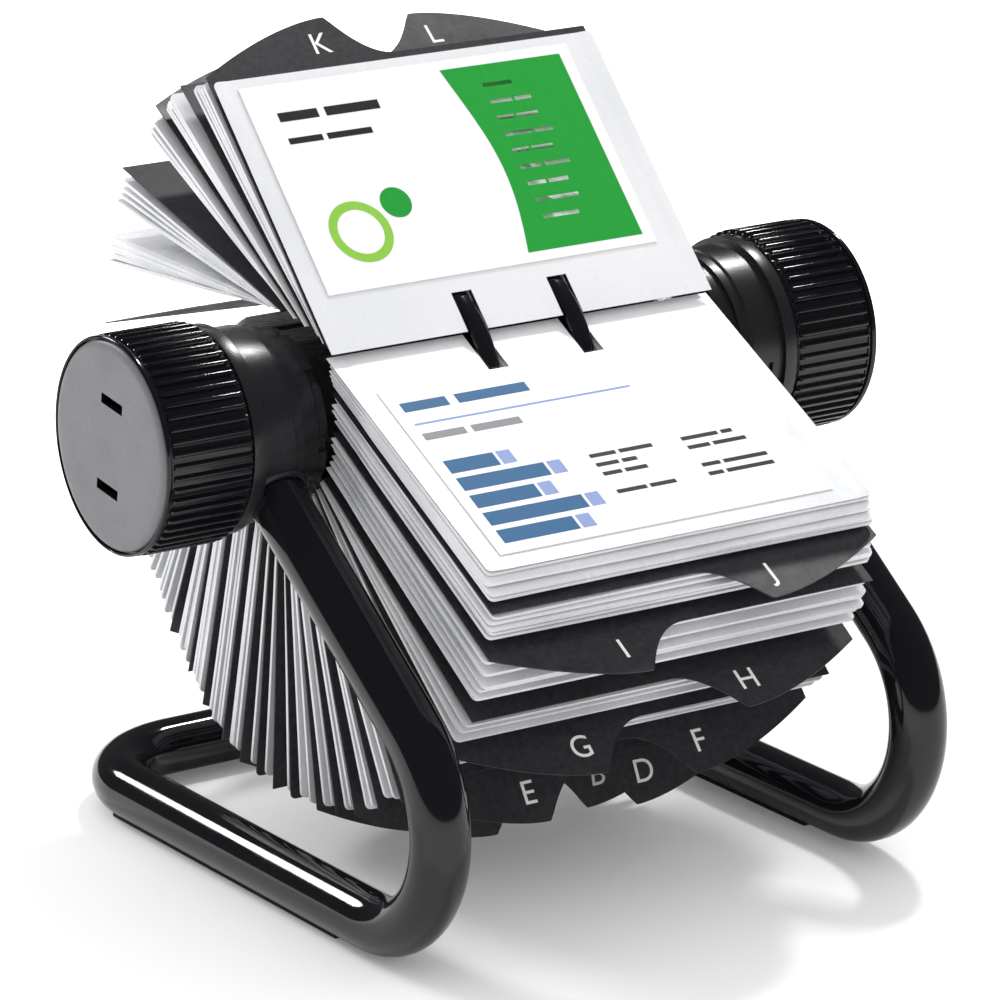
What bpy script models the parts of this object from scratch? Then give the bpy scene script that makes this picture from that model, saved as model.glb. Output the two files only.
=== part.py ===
"""Rotary card file: a bent tube stand carries a wheel of clear sleeves and index dividers.

Metres, +Z up. X runs along the wheel's axle, the front is -Y, and the origin lies on the
floor under the middle of the object. Card angles are counted about the axle from the front,
so 0 degrees points to the front, 90 up, 180 to the back and 270 down.
"""

import math

import bmesh
import bpy
import numpy as np
from mathutils import Matrix, Vector

COLLECTION_NAME = "rotary_card_file"
CUTTER_COLLECTION_NAME = "cutters"

# Clearances
GAP = 0.0003
PAPER_GAP = 0.0001
CUT_OVERRUN = 0.001
WELD_DISTANCE = 0.00001
FLAT_ANGLE = math.radians(0.5)

# Leaves: sleeves, dividers and the cards in the two open sleeves
CARD_WIDTH = 0.0900
CARD_LENGTH = 0.0550
CARD_THICKNESS = 0.0003
CARD_SIDE_SHIFT = -0.0015
UPPER_CARD_MARGIN = 0.0144
LOWER_CARD_MARGIN = 0.0131
LEAF_SIDE_MARGIN = 0.0070
LEAF_END_MARGINS = 0.0170
LEAF_WIDTH = CARD_WIDTH + 2 * LEAF_SIDE_MARGIN
LEAF_LENGTH = CARD_LENGTH + LEAF_END_MARGINS
LEAF_CORNER_RADIUS = 0.0020
NOTCH_DEPTH = 0.0112
UPPER_NOTCH_DEPTH = 0.0102
LOWER_NOTCH_DEPTH = 0.0122
NOTCH_WIDTH = 0.0055
HANGING_SLACK = 0.0022
STACK_NOTCH_EXTRA = 0.0012
STACK_LEAST_THICKNESS = 0.0004
STACK_LAYER_DEGREES = 9.0
TURNING_GAP = 0.0008
SLEEVE_FILM = 0.0002
SLEEVE_SEAM = 0.0026
DIVIDER_THICKNESS = 0.0003
TAB_HEIGHT = 0.0116
TAB_PEAK = 0.0355
TAB_FLAT = 0.0010
TAB_FALL = 0.0145
TAB_RISE_POWER = 1.6
TAB_STEPS = 7

# Drum and hoops
HOOP_RADIUS = 0.0284
HOOP_STANDOFF = 0.0124
SIDE_DISC_STEP = 0.0042
DRUM_RADIUS = HOOP_RADIUS - HOOP_STANDOFF
DRUM_WALL = 0.0020
SIDE_DISC_RADIUS = DRUM_RADIUS + SIDE_DISC_STEP
SIDE_DISC_THICKNESS = 0.0025
SPIGOT_LENGTH = 0.0060
SPIGOT_WALL = 0.0020
SIDE_DISC_NOTCHES = 8
SIDE_DISC_NOTCH_WIDTH = 0.0022
SIDE_DISC_NOTCH_DEPTH = 0.0012
HOOP_OFFSET = 0.0130
HOOP_HEAD_THICKNESS = 0.0018
HOOP_HEAD_WIDTH = 0.0045
HOOP_WEB_THICKNESS = 0.0015
WHEEL_REACH = HOOP_RADIUS + HANGING_SLACK + LEAF_LENGTH - NOTCH_DEPTH + TAB_HEIGHT
FLOOR_ROOM = 0.0054
AXLE_HEIGHT = WHEEL_REACH + FLOOR_ROOM

# Housings, from the drum side outwards
HOUSING_SIDE_ROOM = 0.0040
HOUSING_RIM_LENGTH = 0.0042
HOUSING_BARREL_LENGTH = 0.0109
HOUSING_FLANGE_LENGTH = 0.0034
HOUSING_INNER_FACE = LEAF_WIDTH / 2 + HOUSING_SIDE_ROOM
HOUSING_RIM_END = HOUSING_INNER_FACE + HOUSING_RIM_LENGTH
HOUSING_FLANGE_START = HOUSING_RIM_END + HOUSING_BARREL_LENGTH
HOUSING_OUTER_FACE = HOUSING_FLANGE_START + HOUSING_FLANGE_LENGTH
HOUSING_FLANGE_RADIUS = 0.0238
HOUSING_FLANGE_STEP = 0.0015
HOUSING_RIM_STEP = 0.0015
HOUSING_BARREL_RADIUS = HOUSING_FLANGE_RADIUS - HOUSING_FLANGE_STEP
HOUSING_RIM_RADIUS = HOUSING_BARREL_RADIUS - HOUSING_RIM_STEP
HOUSING_WALL = 0.0025
HOUSING_BOSS_RADIUS = 0.0082
SOCKET_WALL = 0.0018
TURNED_STEPS = 32

# Stand
TUBE_RADIUS = 0.00675
TUBE_WALL = 0.0012
TUBE_FROM_INNER_FACE = 0.0094
RAIL_OFFSET = HOUSING_INNER_FACE + TUBE_FROM_INNER_FACE
TUBE_LIFT = 0.0007
FRONT_BEND_RADIUS = 0.0273
FRONT_BEND_SETOUT = 0.0556
REAR_BEND_RADIUS = 0.024
REAR_BAR_SETBACK = 0.072
TUBE_END_FROM_AXLE = 0.0105
FRONT_BEND_STEPS = 10
REAR_BEND_STEPS = 6
TUBE_BEVEL_RESOLUTION = 4
HOLLOW_BEVEL_RESOLUTION = 2
FOOT_LENGTH = 0.098
FOOT_WIDTH = 0.0076
FOOT_HEIGHT = 0.0022
FOOT_MIDDLE_SETBACK = 0.005

# Knobs
KNOB_INNER_FACE = HOUSING_OUTER_FACE + GAP
KNOB_LENGTH = 0.0225
KNOB_RIB_RADIUS = 0.0250
KNOB_ROOT_RADIUS = 0.0240
KNOB_RIM_RADIUS = 0.0249
KNOB_RIM_LENGTH = 0.0024
KNOB_RIM_ROUNDING = 0.0006
KNOB_RIBS = 56
RIB_SHARES = (0.0, 0.45, 0.72)
KNOB_BOSS_RADIUS = 0.0080
KNOB_BOSS_RECESS = 0.0022
KNOB_BOSS_START = KNOB_INNER_FACE + KNOB_BOSS_RECESS
KNOB_WALL = 0.0026
KNOB_HOLLOW_DEPTH = 0.0142
KNOB_WEB_START = KNOB_INNER_FACE + KNOB_HOLLOW_DEPTH
KNOB_POCKET_RADIUS = 0.0185
KNOB_POCKET_DEPTH = 0.0050
KNOB_POCKET_FLOOR = KNOB_INNER_FACE + KNOB_LENGTH - KNOB_POCKET_DEPTH
CAP_SEAT_DEPTH = 0.0020
CAP_RADIUS = 0.0238
CAP_THICKNESS = 0.0016
CAP_CROWN = 0.0008
CAP_SLOT_LENGTH = 0.0090
CAP_SLOT_WIDTH = 0.0024
CAP_SLOT_OFFSET = 0.0102
CAP_TURN = math.radians(8.0)

# Axle and bushes
AXLE_RADIUS = 0.0030
AXLE_END_RECESS = 0.0013
AXLE_HALF_LENGTH = KNOB_POCKET_FLOOR - AXLE_END_RECESS
BUSH_WALL = 0.0019
BUSH_FLANGE_RADIUS = 0.0074
BUSH_FLANGE_THICKNESS = 0.0012
SMALL_STEPS = 20

# How the leaves ride on the hoops: the angle where a leaf hooks on, its lean past the radial
# direction there (backwards is positive) and the share of the hanging slack that it takes up
RIDE_ANGLES = (
    *(65.0, 70.2, 83.0, 96.2, 114.2, 136.0, 188.0, 209.3),
    *(222.6, 239.5, 250.0, 265.0, 300.0, 326.0, 352.7, 383.6),
)
RIDE_LEANS = (
    *(68.0, 63.4, 57.5, 52.5, 50.5, 59.0, 54.0, 43.0),
    *(32.2, 17.0, 8.0, 3.0, 0.0, 0.0, -23.0, -51.0),
)
RIDE_SLACK_SHARES = (
    *(0.50, 0.50, 0.50, 0.50, 0.50, 0.55, 0.60, 0.70),
    *(0.80, 0.90, 1.0, 1.0, 1.0, 1.0, 0.90, 0.84),
)
UPPER_SLEEVE_ANGLE = 65.0
LOWER_SLEEVE_ANGLE = 383.6
# Each divider's index letters, hook angle and the side where its tab peaks
DIVIDERS = (
    ("K", 70.2, -1),
    ("L", 83.0, 1),
    ("M", 95.5, -1),
    ("N", 113.5, 1),
    ("O", 136.4, -1),
    ("PQ", 167.0, 1),
    ("R", 197.5, -1),
    ("S", 209.5, 1),
    ("T", 222.5, -1),
    ("UV", 239.5, 1),
    ("W", 251.0, -1),
    ("XYZ", 263.0, 1),
    ("A", 276.0, -1),
    ("B", 281.5, 1),
    ("C", 287.0, -1),
    ("D", 294.0, 1),
    ("E", 301.0, -1),
    ("F", 309.5, 1),
    ("G", 317.0, -1),
    ("H", 325.5, 1),
    ("I", 350.5, -1),
    ("J", 368.0, 1),
)
# Each of these dividers has a block of sleeves behind it, up to the next leaf of the wheel
STACK_LETTERS = (
    *("K", "L", "M", "N", "O", "PQ", "R", "S", "T", "UV"),
    *("W", "XYZ", "F", "G", "H", "I", "J"),
)

COLOURS = {
    "tube_black": ((0.012, 0.012, 0.014), 0.12, 0.0),
    "rubber": ((0.02, 0.02, 0.02), 0.85, 0.0),
    "satin_black": ((0.016, 0.016, 0.018), 0.42, 0.0),
    "gloss_black": ((0.014, 0.014, 0.016), 0.22, 0.0),
    "cap_grey": ((0.23, 0.23, 0.25), 0.45, 0.0),
    "steel": ((0.55, 0.55, 0.56), 0.3, 1.0),
    "bearing_plastic": ((0.75, 0.74, 0.70), 0.5, 0.0),
    "clear_film": ((0.75, 0.76, 0.78), 0.25, 0.0),
    "card_white": ((0.88, 0.88, 0.87), 0.6, 0.0),
    "divider_black": ((0.03, 0.03, 0.033), 0.5, 0.0),
}


def clear_scene():
    for item in list(bpy.data.objects):
        bpy.data.objects.remove(item, do_unlink=True)


def new_collection(name):
    collection = bpy.data.collections.new(name)
    bpy.context.scene.collection.children.link(collection)
    return collection


def make_material(name):
    colour, roughness, metallic = COLOURS[name]
    material = bpy.data.materials.new(name)
    material.use_nodes = True
    shader = material.node_tree.nodes["Principled BSDF"]
    shader.inputs["Base Color"].default_value = (*colour, 1.0)
    shader.inputs["Roughness"].default_value = roughness
    shader.inputs["Metallic"].default_value = metallic
    material.diffuse_color = (*colour, 1.0)
    return material


clear_scene()
PARTS = new_collection(COLLECTION_NAME)
CUTTERS = new_collection(CUTTER_COLLECTION_NAME)
MATERIALS = {name: make_material(name) for name in COLOURS}


def add_object(name, mesh, material_name, matrix=None):
    """A new object that carries the mesh, placed by the matrix."""
    item = bpy.data.objects.new(name, mesh)
    PARTS.objects.link(item)
    if material_name:
        mesh.materials.clear()
        mesh.materials.append(MATERIALS[material_name])
    if matrix is not None:
        item.matrix_world = matrix
    return item


def as_cutter(item):
    """Marks an object as a cutter, which is drawn as wires and left out of the part."""
    for collection in list(item.users_collection):
        collection.objects.unlink(item)
    CUTTERS.objects.link(item)
    item.hide_render = True
    item.display_type = "WIRE"
    return item


def hang(item, carrier):
    """Parents an object to its carrier and leaves it where it is."""
    place = item.matrix_world.copy()
    item.parent = carrier
    item.matrix_parent_inverse = carrier.matrix_world.inverted()
    item.matrix_world = place


def pivot(name, y, z, carrier=None):
    """An empty on a line along X that a body turns about."""
    item = bpy.data.objects.new(name, None)
    PARTS.objects.link(item)
    item.matrix_world = Matrix.Translation((0.0, y, z))
    if carrier:
        hang(item, carrier)
    return item


def combine(item, other, operation):
    """Adds a Boolean modifier that joins the other object to the item or cuts it away."""
    as_cutter(other)
    hang(other, item)
    modifier = item.modifiers.new(operation.lower(), "BOOLEAN")
    modifier.operation = operation
    modifier.object = other
    modifier.solver = "EXACT"
    return item


def lathe(name, profile, material_name, steps=TURNED_STEPS, matrix=None):
    """Turns a profile of (radius, height) points about the local Z axis.

    The points run down the outer side. A profile that never touches the axis is closed.
    """
    mesh = bpy.data.meshes.new(name)
    points = [(radius, 0.0, height) for radius, height in profile]
    edges = [(k, k + 1) for k in range(len(points) - 1)]
    if all(radius > 0.0 for radius, _ in profile):
        edges.append((len(points) - 1, 0))
    mesh.from_pydata(points, edges, [])
    item = add_object(name, mesh, material_name, matrix)
    screw = item.modifiers.new("turn", "SCREW")
    screw.axis = "Z"
    screw.angle = math.tau
    screw.steps = steps
    screw.render_steps = steps
    screw.use_merge_vertices = True
    screw.merge_threshold = WELD_DISTANCE
    screw.use_smooth_shade = True
    return item


def curve_to_mesh(name, curve, material_name, matrix=None, flat=False):
    """Replaces a curve by the welded mesh that it evaluates to, with whole faces if flat."""
    holder = bpy.data.objects.new(name + "_curve", curve)
    bpy.context.scene.collection.objects.link(holder)
    if matrix is not None:
        holder.matrix_world = matrix
    graph = bpy.context.evaluated_depsgraph_get()
    mesh = bpy.data.meshes.new_from_object(holder.evaluated_get(graph))
    world = holder.matrix_world.copy()
    bpy.data.objects.remove(holder, do_unlink=True)
    work = bmesh.new()
    work.from_mesh(mesh)
    bmesh.ops.remove_doubles(work, verts=work.verts, dist=WELD_DISTANCE)
    if flat:
        bmesh.ops.dissolve_limit(
            work, angle_limit=FLAT_ANGLE, verts=work.verts, edges=work.edges
        )
    work.to_mesh(mesh)
    work.free()
    return add_object(name, mesh, material_name, world)


def tube(name, points, radius, resolution, material_name):
    """A round bar along the points."""
    curve = bpy.data.curves.new(name, "CURVE")
    curve.dimensions = "3D"
    curve.bevel_depth = radius
    curve.bevel_resolution = resolution
    curve.use_fill_caps = True
    spline = curve.splines.new("POLY")
    spline.points.add(len(points) - 1)
    for point, place in zip(spline.points, points):
        point.co = (*place, 1.0)
    item = curve_to_mesh(name, curve, material_name)
    item.data.shade_smooth()
    return item


def plate(name, outline, thickness, material_name, matrix=None):
    """A flat plate inside an outline in the local XY plane, centred on that plane."""
    curve = bpy.data.curves.new(name, "CURVE")
    curve.dimensions = "2D"
    curve.fill_mode = "BOTH"
    curve.extrude = thickness / 2
    spline = curve.splines.new("POLY")
    spline.points.add(len(outline) - 1)
    spline.use_cyclic_u = True
    for point, (x, y) in zip(spline.points, outline):
        point.co = (x, y, 0.0, 1.0)
    return curve_to_mesh(name, curve, material_name, matrix, flat=True)


def block(name, low, high, material_name=None, matrix=None):
    """A box between two corners in local coordinates."""
    mesh = bpy.data.meshes.new(name)
    work = bmesh.new()
    bmesh.ops.create_cube(work, size=1.0)
    size = Vector(high) - Vector(low)
    middle = (Vector(high) + Vector(low)) / 2
    bmesh.ops.scale(work, vec=size, verts=work.verts)
    bmesh.ops.translate(work, vec=middle, verts=work.verts)
    work.to_mesh(mesh)
    work.free()
    return add_object(name, mesh, material_name, matrix)


def arc(centre, radius, start, end, steps):
    """Points of an arc in a plane, both ends included."""
    angles = np.linspace(start, end, steps + 1)
    return [(centre[0] + radius * math.cos(a), centre[1] + radius * math.sin(a)) for a in angles]


def side_matrix(side, turn=0.0):
    """Local Z to the outside of the given side along the axle, local X to the floor."""
    turned = Matrix.Rotation(math.pi / 2 * side, 4, "Y") @ Matrix.Rotation(turn, 4, "Z")
    return Matrix.Translation((0.0, AXLE_SETBACK, AXLE_HEIGHT)) @ turned


def ride(angle):
    """Hook point and direction of a leaf, as (y, z) pairs about the axle."""
    lean = float(np.interp(angle, RIDE_ANGLES, RIDE_LEANS))
    slack = HANGING_SLACK * float(np.interp(angle, RIDE_ANGLES, RIDE_SLACK_SHARES))
    hook = math.radians(angle)
    heading = math.radians(angle + lean)
    reach = HOOP_RADIUS + slack
    return (
        (-math.cos(hook) * reach, math.sin(hook) * reach),
        (-math.cos(heading), math.sin(heading)),
    )


def leaf_point(angle, along, offset):
    """A point (y, z) about the axle: so far along the leaf, so far off it to the reader."""
    hook, heading = ride(angle)
    side = (-heading[1], heading[0])
    run = along - NOTCH_DEPTH
    return (
        hook[0] + heading[0] * run + side[0] * offset,
        hook[1] + heading[1] * run + side[1] * offset,
    )


def leaf_matrix(angle, offset=0.0):
    """Local X along the axle, local Y along the leaf from its binding edge, Z to the reader."""
    start = leaf_point(angle, 0.0, offset)
    heading = ride(angle)[1]
    along = Vector((0.0, heading[0], heading[1]))
    across = Vector((1.0, 0.0, 0.0))
    normal = across.cross(along)
    rotation = Matrix((across, along, normal)).transposed().to_4x4()
    place = Matrix.Translation((0.0, AXLE_SETBACK + start[0], AXLE_HEIGHT + start[1]))
    return place @ rotation


def front_and_back_reach():
    """Least and largest y of the leaves and the stand about the axle."""
    tips = [leaf_point(angle, LEAF_LENGTH + TAB_HEIGHT, 0.0)[0] for _, angle, _ in DIVIDERS]
    tips.append(-FRONT_BEND_SETOUT - FRONT_BEND_RADIUS - TUBE_RADIUS)
    tips.append(REAR_BAR_SETBACK + TUBE_RADIUS)
    return min(tips), max(tips)


# The origin is halfway between the foremost and the rearmost point
AXLE_SETBACK = -sum(front_and_back_reach()) / 2


def build_frame_tube():
    """One bent tube: left hub, front bend, rail, rear bar, rail, front bend, right hub."""
    rail_height = TUBE_LIFT + TUBE_RADIUS
    bend_y = -FRONT_BEND_SETOUT
    bend_z = rail_height + FRONT_BEND_RADIUS
    drop = AXLE_HEIGHT - bend_z
    far = math.hypot(drop, FRONT_BEND_SETOUT)
    slope = math.acos(FRONT_BEND_RADIUS / far) - math.atan2(FRONT_BEND_SETOUT, drop)
    start_angle = math.pi / 2 + slope
    bend = arc((bend_y, bend_z), FRONT_BEND_RADIUS, start_angle, 1.5 * math.pi, FRONT_BEND_STEPS)

    def upright_point(distance):
        return (-distance * math.cos(slope), AXLE_HEIGHT - distance * math.sin(slope))

    corner = arc(
        (-RAIL_OFFSET + REAR_BEND_RADIUS, REAR_BAR_SETBACK - REAR_BEND_RADIUS),
        REAR_BEND_RADIUS,
        math.pi,
        math.pi / 2,
        REAR_BEND_STEPS,
    )

    def whole_path(end_distance):
        side = [(-RAIL_OFFSET, *upright_point(end_distance))]
        side += [(-RAIL_OFFSET, y, z) for y, z in bend]
        side += [(x, y, rail_height) for x, y in corner]
        other = [(-x, y, z) for x, y, z in reversed(side)]
        return [(x, y + AXLE_SETBACK, z) for x, y, z in side + other]

    item = tube(
        "frame_tube",
        whole_path(TUBE_END_FROM_AXLE),
        TUBE_RADIUS,
        TUBE_BEVEL_RESOLUTION,
        "tube_black",
    )
    hollow = tube(
        "frame_tube_hollow",
        whole_path(TUBE_END_FROM_AXLE - CUT_OVERRUN),
        TUBE_RADIUS - TUBE_WALL,
        HOLLOW_BEVEL_RESOLUTION,
        None,
    )
    combine(item, hollow, "DIFFERENCE")
    return slope


def build_foot_strip(name, side):
    """A rubber strip under a rail, hollowed on top where the tube lies in it."""
    middle = Vector((side * RAIL_OFFSET, AXLE_SETBACK + FOOT_MIDDLE_SETBACK, 0.0))
    half_width = FOOT_WIDTH / 2
    half_length = FOOT_LENGTH / 2
    item = block(
        name,
        (-half_width, -half_length, 0.0),
        (half_width, half_length, FOOT_HEIGHT),
        "rubber",
        Matrix.Translation(middle),
    )
    mesh = bpy.data.meshes.new(name + "_seat")
    work = bmesh.new()
    bmesh.ops.create_cone(
        work,
        cap_ends=True,
        segments=TURNED_STEPS,
        radius1=TUBE_RADIUS + GAP,
        radius2=TUBE_RADIUS + GAP,
        depth=FOOT_LENGTH + 2 * CUT_OVERRUN,
    )
    work.to_mesh(mesh)
    work.free()
    lift = Matrix.Translation(middle + Vector((0.0, 0.0, TUBE_LIFT + TUBE_RADIUS)))
    seat = add_object(name + "_seat", mesh, None, lift @ Matrix.Rotation(math.pi / 2, 4, "X"))
    combine(item, seat, "DIFFERENCE")


def build_housing(name, side, slope):
    """A fixed barrel between the knob and the drum, with a socket for the tube's end."""
    bush_seat = AXLE_RADIUS + GAP + BUSH_WALL + GAP
    floor = HOUSING_INNER_FACE + HOUSING_WALL
    inside = HOUSING_BARREL_RADIUS - HOUSING_WALL
    profile = [
        (HOUSING_FLANGE_RADIUS - HOUSING_WALL, HOUSING_OUTER_FACE),
        (HOUSING_FLANGE_RADIUS, HOUSING_OUTER_FACE),
        (HOUSING_FLANGE_RADIUS, HOUSING_FLANGE_START),
        (HOUSING_BARREL_RADIUS, HOUSING_FLANGE_START),
        (HOUSING_BARREL_RADIUS, HOUSING_RIM_END),
        (HOUSING_RIM_RADIUS, HOUSING_RIM_END),
        (HOUSING_RIM_RADIUS, HOUSING_INNER_FACE),
        (bush_seat, HOUSING_INNER_FACE),
        (bush_seat, HOUSING_OUTER_FACE),
        (HOUSING_BOSS_RADIUS, HOUSING_OUTER_FACE),
        (HOUSING_BOSS_RADIUS, floor),
        (HOUSING_RIM_RADIUS - HOUSING_WALL, floor),
        (HOUSING_RIM_RADIUS - HOUSING_WALL, HOUSING_RIM_END + HOUSING_WALL),
        (inside, HOUSING_RIM_END + HOUSING_WALL),
        (inside, HOUSING_OUTER_FACE - HOUSING_WALL),
    ]
    item = lathe(name, profile, "satin_black", matrix=side_matrix(side))
    hub = Matrix.Translation((side * RAIL_OFFSET, AXLE_SETBACK, AXLE_HEIGHT))
    outwards = hub @ Matrix.Rotation(math.pi / 2 + slope, 4, "X")
    bore_radius = TUBE_RADIUS + GAP
    wall_radius = bore_radius + SOCKET_WALL
    wall_end = math.sqrt((HOUSING_BARREL_RADIUS - GAP) ** 2 - wall_radius**2)
    socket = lathe(
        name + "_socket",
        [
            (0.0, wall_end),
            (wall_radius, wall_end),
            (wall_radius, bush_seat + GAP),
            (0.0, bush_seat + GAP),
        ],
        None,
        matrix=outwards,
    )
    combine(item, socket, "UNION")
    bore = lathe(
        name + "_bore",
        [
            (0.0, HOUSING_FLANGE_RADIUS + CUT_OVERRUN),
            (bore_radius, HOUSING_FLANGE_RADIUS + CUT_OVERRUN),
            (bore_radius, TUBE_END_FROM_AXLE - GAP),
            (0.0, TUBE_END_FROM_AXLE - GAP),
        ],
        None,
        matrix=outwards,
    )
    combine(item, bore, "DIFFERENCE")


def build_bush(name, side):
    """A flanged bush that the axle turns in."""
    bore = AXLE_RADIUS + GAP
    flange_start = HOUSING_OUTER_FACE + GAP
    profile = [
        (bore, flange_start + BUSH_FLANGE_THICKNESS),
        (BUSH_FLANGE_RADIUS, flange_start + BUSH_FLANGE_THICKNESS),
        (BUSH_FLANGE_RADIUS, flange_start),
        (bore + BUSH_WALL, flange_start),
        (bore + BUSH_WALL, HOUSING_INNER_FACE),
        (bore, HOUSING_INNER_FACE),
    ]
    lathe(name, profile, "bearing_plastic", SMALL_STEPS, side_matrix(side))


def build_axle():
    """The steel axle that both knobs and the side discs are pressed on."""
    profile = [
        (0.0, AXLE_HALF_LENGTH),
        (AXLE_RADIUS, AXLE_HALF_LENGTH),
        (AXLE_RADIUS, -AXLE_HALF_LENGTH),
        (0.0, -AXLE_HALF_LENGTH),
    ]
    return lathe("axle", profile, "steel", SMALL_STEPS, side_matrix(1))


def rib_outline():
    """The ribbed outline of a knob: flat crests with sharp valleys between them."""
    pitch = math.tau / KNOB_RIBS
    radii = (KNOB_RIB_RADIUS, KNOB_RIB_RADIUS, KNOB_ROOT_RADIUS)
    points = []
    for rib in range(KNOB_RIBS):
        for share, radius in zip(RIB_SHARES, radii):
            angle = (rib + share) * pitch
            points.append((radius * math.cos(angle), radius * math.sin(angle)))
    return points


def build_knob(name, side):
    """A ribbed knob with a smooth outer rim, hollow towards the housing."""
    outer_face = KNOB_INNER_FACE + KNOB_LENGTH
    rib_end = outer_face - KNOB_RIM_LENGTH
    middle = (KNOB_INNER_FACE + rib_end) / 2
    place = side_matrix(side)
    item = plate(
        name,
        rib_outline(),
        rib_end - KNOB_INNER_FACE,
        "gloss_black",
        place @ Matrix.Translation((0.0, 0.0, middle)),
    )
    rounding = arc(
        (outer_face - KNOB_RIM_ROUNDING, KNOB_RIM_RADIUS - KNOB_RIM_ROUNDING),
        KNOB_RIM_ROUNDING,
        0.0,
        math.pi / 2,
        4,
    )
    rim_profile = [(0.0, outer_face)]
    rim_profile += [(radius, height) for height, radius in rounding]
    rim_profile += [(KNOB_RIM_RADIUS, rib_end - CUT_OVERRUN), (0.0, rib_end - CUT_OVERRUN)]
    combine(item, lathe(name + "_rim", rim_profile, None, matrix=place), "UNION")
    seat_radius = CAP_RADIUS + GAP
    seat_floor = outer_face - CAP_SEAT_DEPTH
    axle_bore = AXLE_RADIUS + PAPER_GAP
    bore_profile = [
        (0.0, outer_face + CUT_OVERRUN),
        (seat_radius, outer_face + CUT_OVERRUN),
        (seat_radius, seat_floor),
        (KNOB_POCKET_RADIUS, seat_floor),
        (KNOB_POCKET_RADIUS, KNOB_POCKET_FLOOR),
        (axle_bore, KNOB_POCKET_FLOOR),
        (axle_bore, KNOB_INNER_FACE - CUT_OVERRUN),
        (0.0, KNOB_INNER_FACE - CUT_OVERRUN),
    ]
    combine(item, lathe(name + "_bore", bore_profile, None, matrix=place), "DIFFERENCE")
    cavity_radius = KNOB_ROOT_RADIUS - KNOB_WALL
    cavity_profile = [
        (KNOB_BOSS_RADIUS, KNOB_WEB_START),
        (cavity_radius, KNOB_WEB_START),
        (cavity_radius, KNOB_INNER_FACE - CUT_OVERRUN),
        (axle_bore - PAPER_GAP, KNOB_INNER_FACE - CUT_OVERRUN),
        (axle_bore - PAPER_GAP, KNOB_BOSS_START),
        (KNOB_BOSS_RADIUS, KNOB_BOSS_START),
    ]
    combine(item, lathe(name + "_cavity", cavity_profile, None, matrix=place), "DIFFERENCE")
    return item


def build_knob_cap(name, side):
    """A slightly domed cap with two straight slots."""
    outer_face = KNOB_INNER_FACE + KNOB_LENGTH
    base = outer_face - CAP_SEAT_DEPTH + GAP
    edge = base + CAP_THICKNESS
    crown_radius = (CAP_RADIUS**2 + CAP_CROWN**2) / (2 * CAP_CROWN)
    spread = math.asin(CAP_RADIUS / crown_radius)
    dome = arc((edge + CAP_CROWN - crown_radius, 0.0), crown_radius, 0.0, spread, 4)
    profile = [(max(radius, 0.0), height) for height, radius in dome]
    profile += [(CAP_RADIUS, base), (0.0, base)]
    place = side_matrix(side, side * CAP_TURN)
    item = lathe(name, profile, "cap_grey", matrix=place)
    half_length = CAP_SLOT_LENGTH / 2
    half_width = CAP_SLOT_WIDTH / 2
    for end in (-1, 1):
        slot = block(
            f"{name}_slot_{end + 1}",
            (end * CAP_SLOT_OFFSET - half_width, -half_length, base - CUT_OVERRUN),
            (end * CAP_SLOT_OFFSET + half_width, half_length, edge + CAP_CROWN + CUT_OVERRUN),
            None,
            place,
        )
        combine(item, slot, "DIFFERENCE")
    return item


def build_side_disc(name, side):
    """The disc that closes the drum, with a spigot inside it and notches round its edge."""
    outer = HOUSING_INNER_FACE - GAP
    inner = outer - SIDE_DISC_THICKNESS
    bore = AXLE_RADIUS + PAPER_GAP
    spigot = DRUM_RADIUS - DRUM_WALL - GAP
    profile = [
        (bore, outer),
        (SIDE_DISC_RADIUS, outer),
        (SIDE_DISC_RADIUS, inner),
        (spigot, inner),
        (spigot, inner - SPIGOT_LENGTH),
        (spigot - SPIGOT_WALL, inner - SPIGOT_LENGTH),
        (spigot - SPIGOT_WALL, inner),
        (bore, inner),
    ]
    place = side_matrix(side)
    item = lathe(name, profile, "satin_black", matrix=place)
    half = SIDE_DISC_NOTCH_WIDTH / 2
    for k in range(SIDE_DISC_NOTCHES):
        turn = Matrix.Rotation(k * math.tau / SIDE_DISC_NOTCHES, 4, "Z")
        notch = block(
            f"{name}_notch_{k}",
            (SIDE_DISC_RADIUS - SIDE_DISC_NOTCH_DEPTH, -half, inner - CUT_OVERRUN),
            (SIDE_DISC_RADIUS + CUT_OVERRUN, half, outer + CUT_OVERRUN),
            None,
            place @ turn,
        )
        combine(item, notch, "DIFFERENCE")
    return item


def build_drum_core():
    """The tube between the side discs that the hoops are fixed on."""
    half = HOUSING_INNER_FACE - GAP - SIDE_DISC_THICKNESS - GAP
    inside = DRUM_RADIUS - DRUM_WALL
    profile = [(inside, half), (DRUM_RADIUS, half), (DRUM_RADIUS, -half), (inside, -half)]
    return lathe("drum_core", profile, "satin_black", matrix=side_matrix(1))


def build_hoop(name, side):
    """A T-section hoop: a thin web on the drum under a wider head that the leaves hook on."""
    half_web = HOOP_WEB_THICKNESS / 2
    half_head = HOOP_HEAD_WIDTH / 2
    foot = DRUM_RADIUS + PAPER_GAP
    under_head = HOOP_RADIUS - HOOP_HEAD_THICKNESS
    profile = [
        (under_head, half_head),
        (HOOP_RADIUS - HOOP_HEAD_THICKNESS / 4, half_head),
        (HOOP_RADIUS, half_head - HOOP_HEAD_THICKNESS / 4),
        (HOOP_RADIUS, HOOP_HEAD_THICKNESS / 4 - half_head),
        (HOOP_RADIUS - HOOP_HEAD_THICKNESS / 4, -half_head),
        (under_head, -half_head),
        (under_head, -half_web),
        (foot, -half_web),
        (foot, half_web),
        (under_head, half_web),
    ]
    place = side_matrix(1) @ Matrix.Translation((0.0, 0.0, side * HOOP_OFFSET))
    return lathe(name, profile, "gloss_black", matrix=place)


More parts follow.
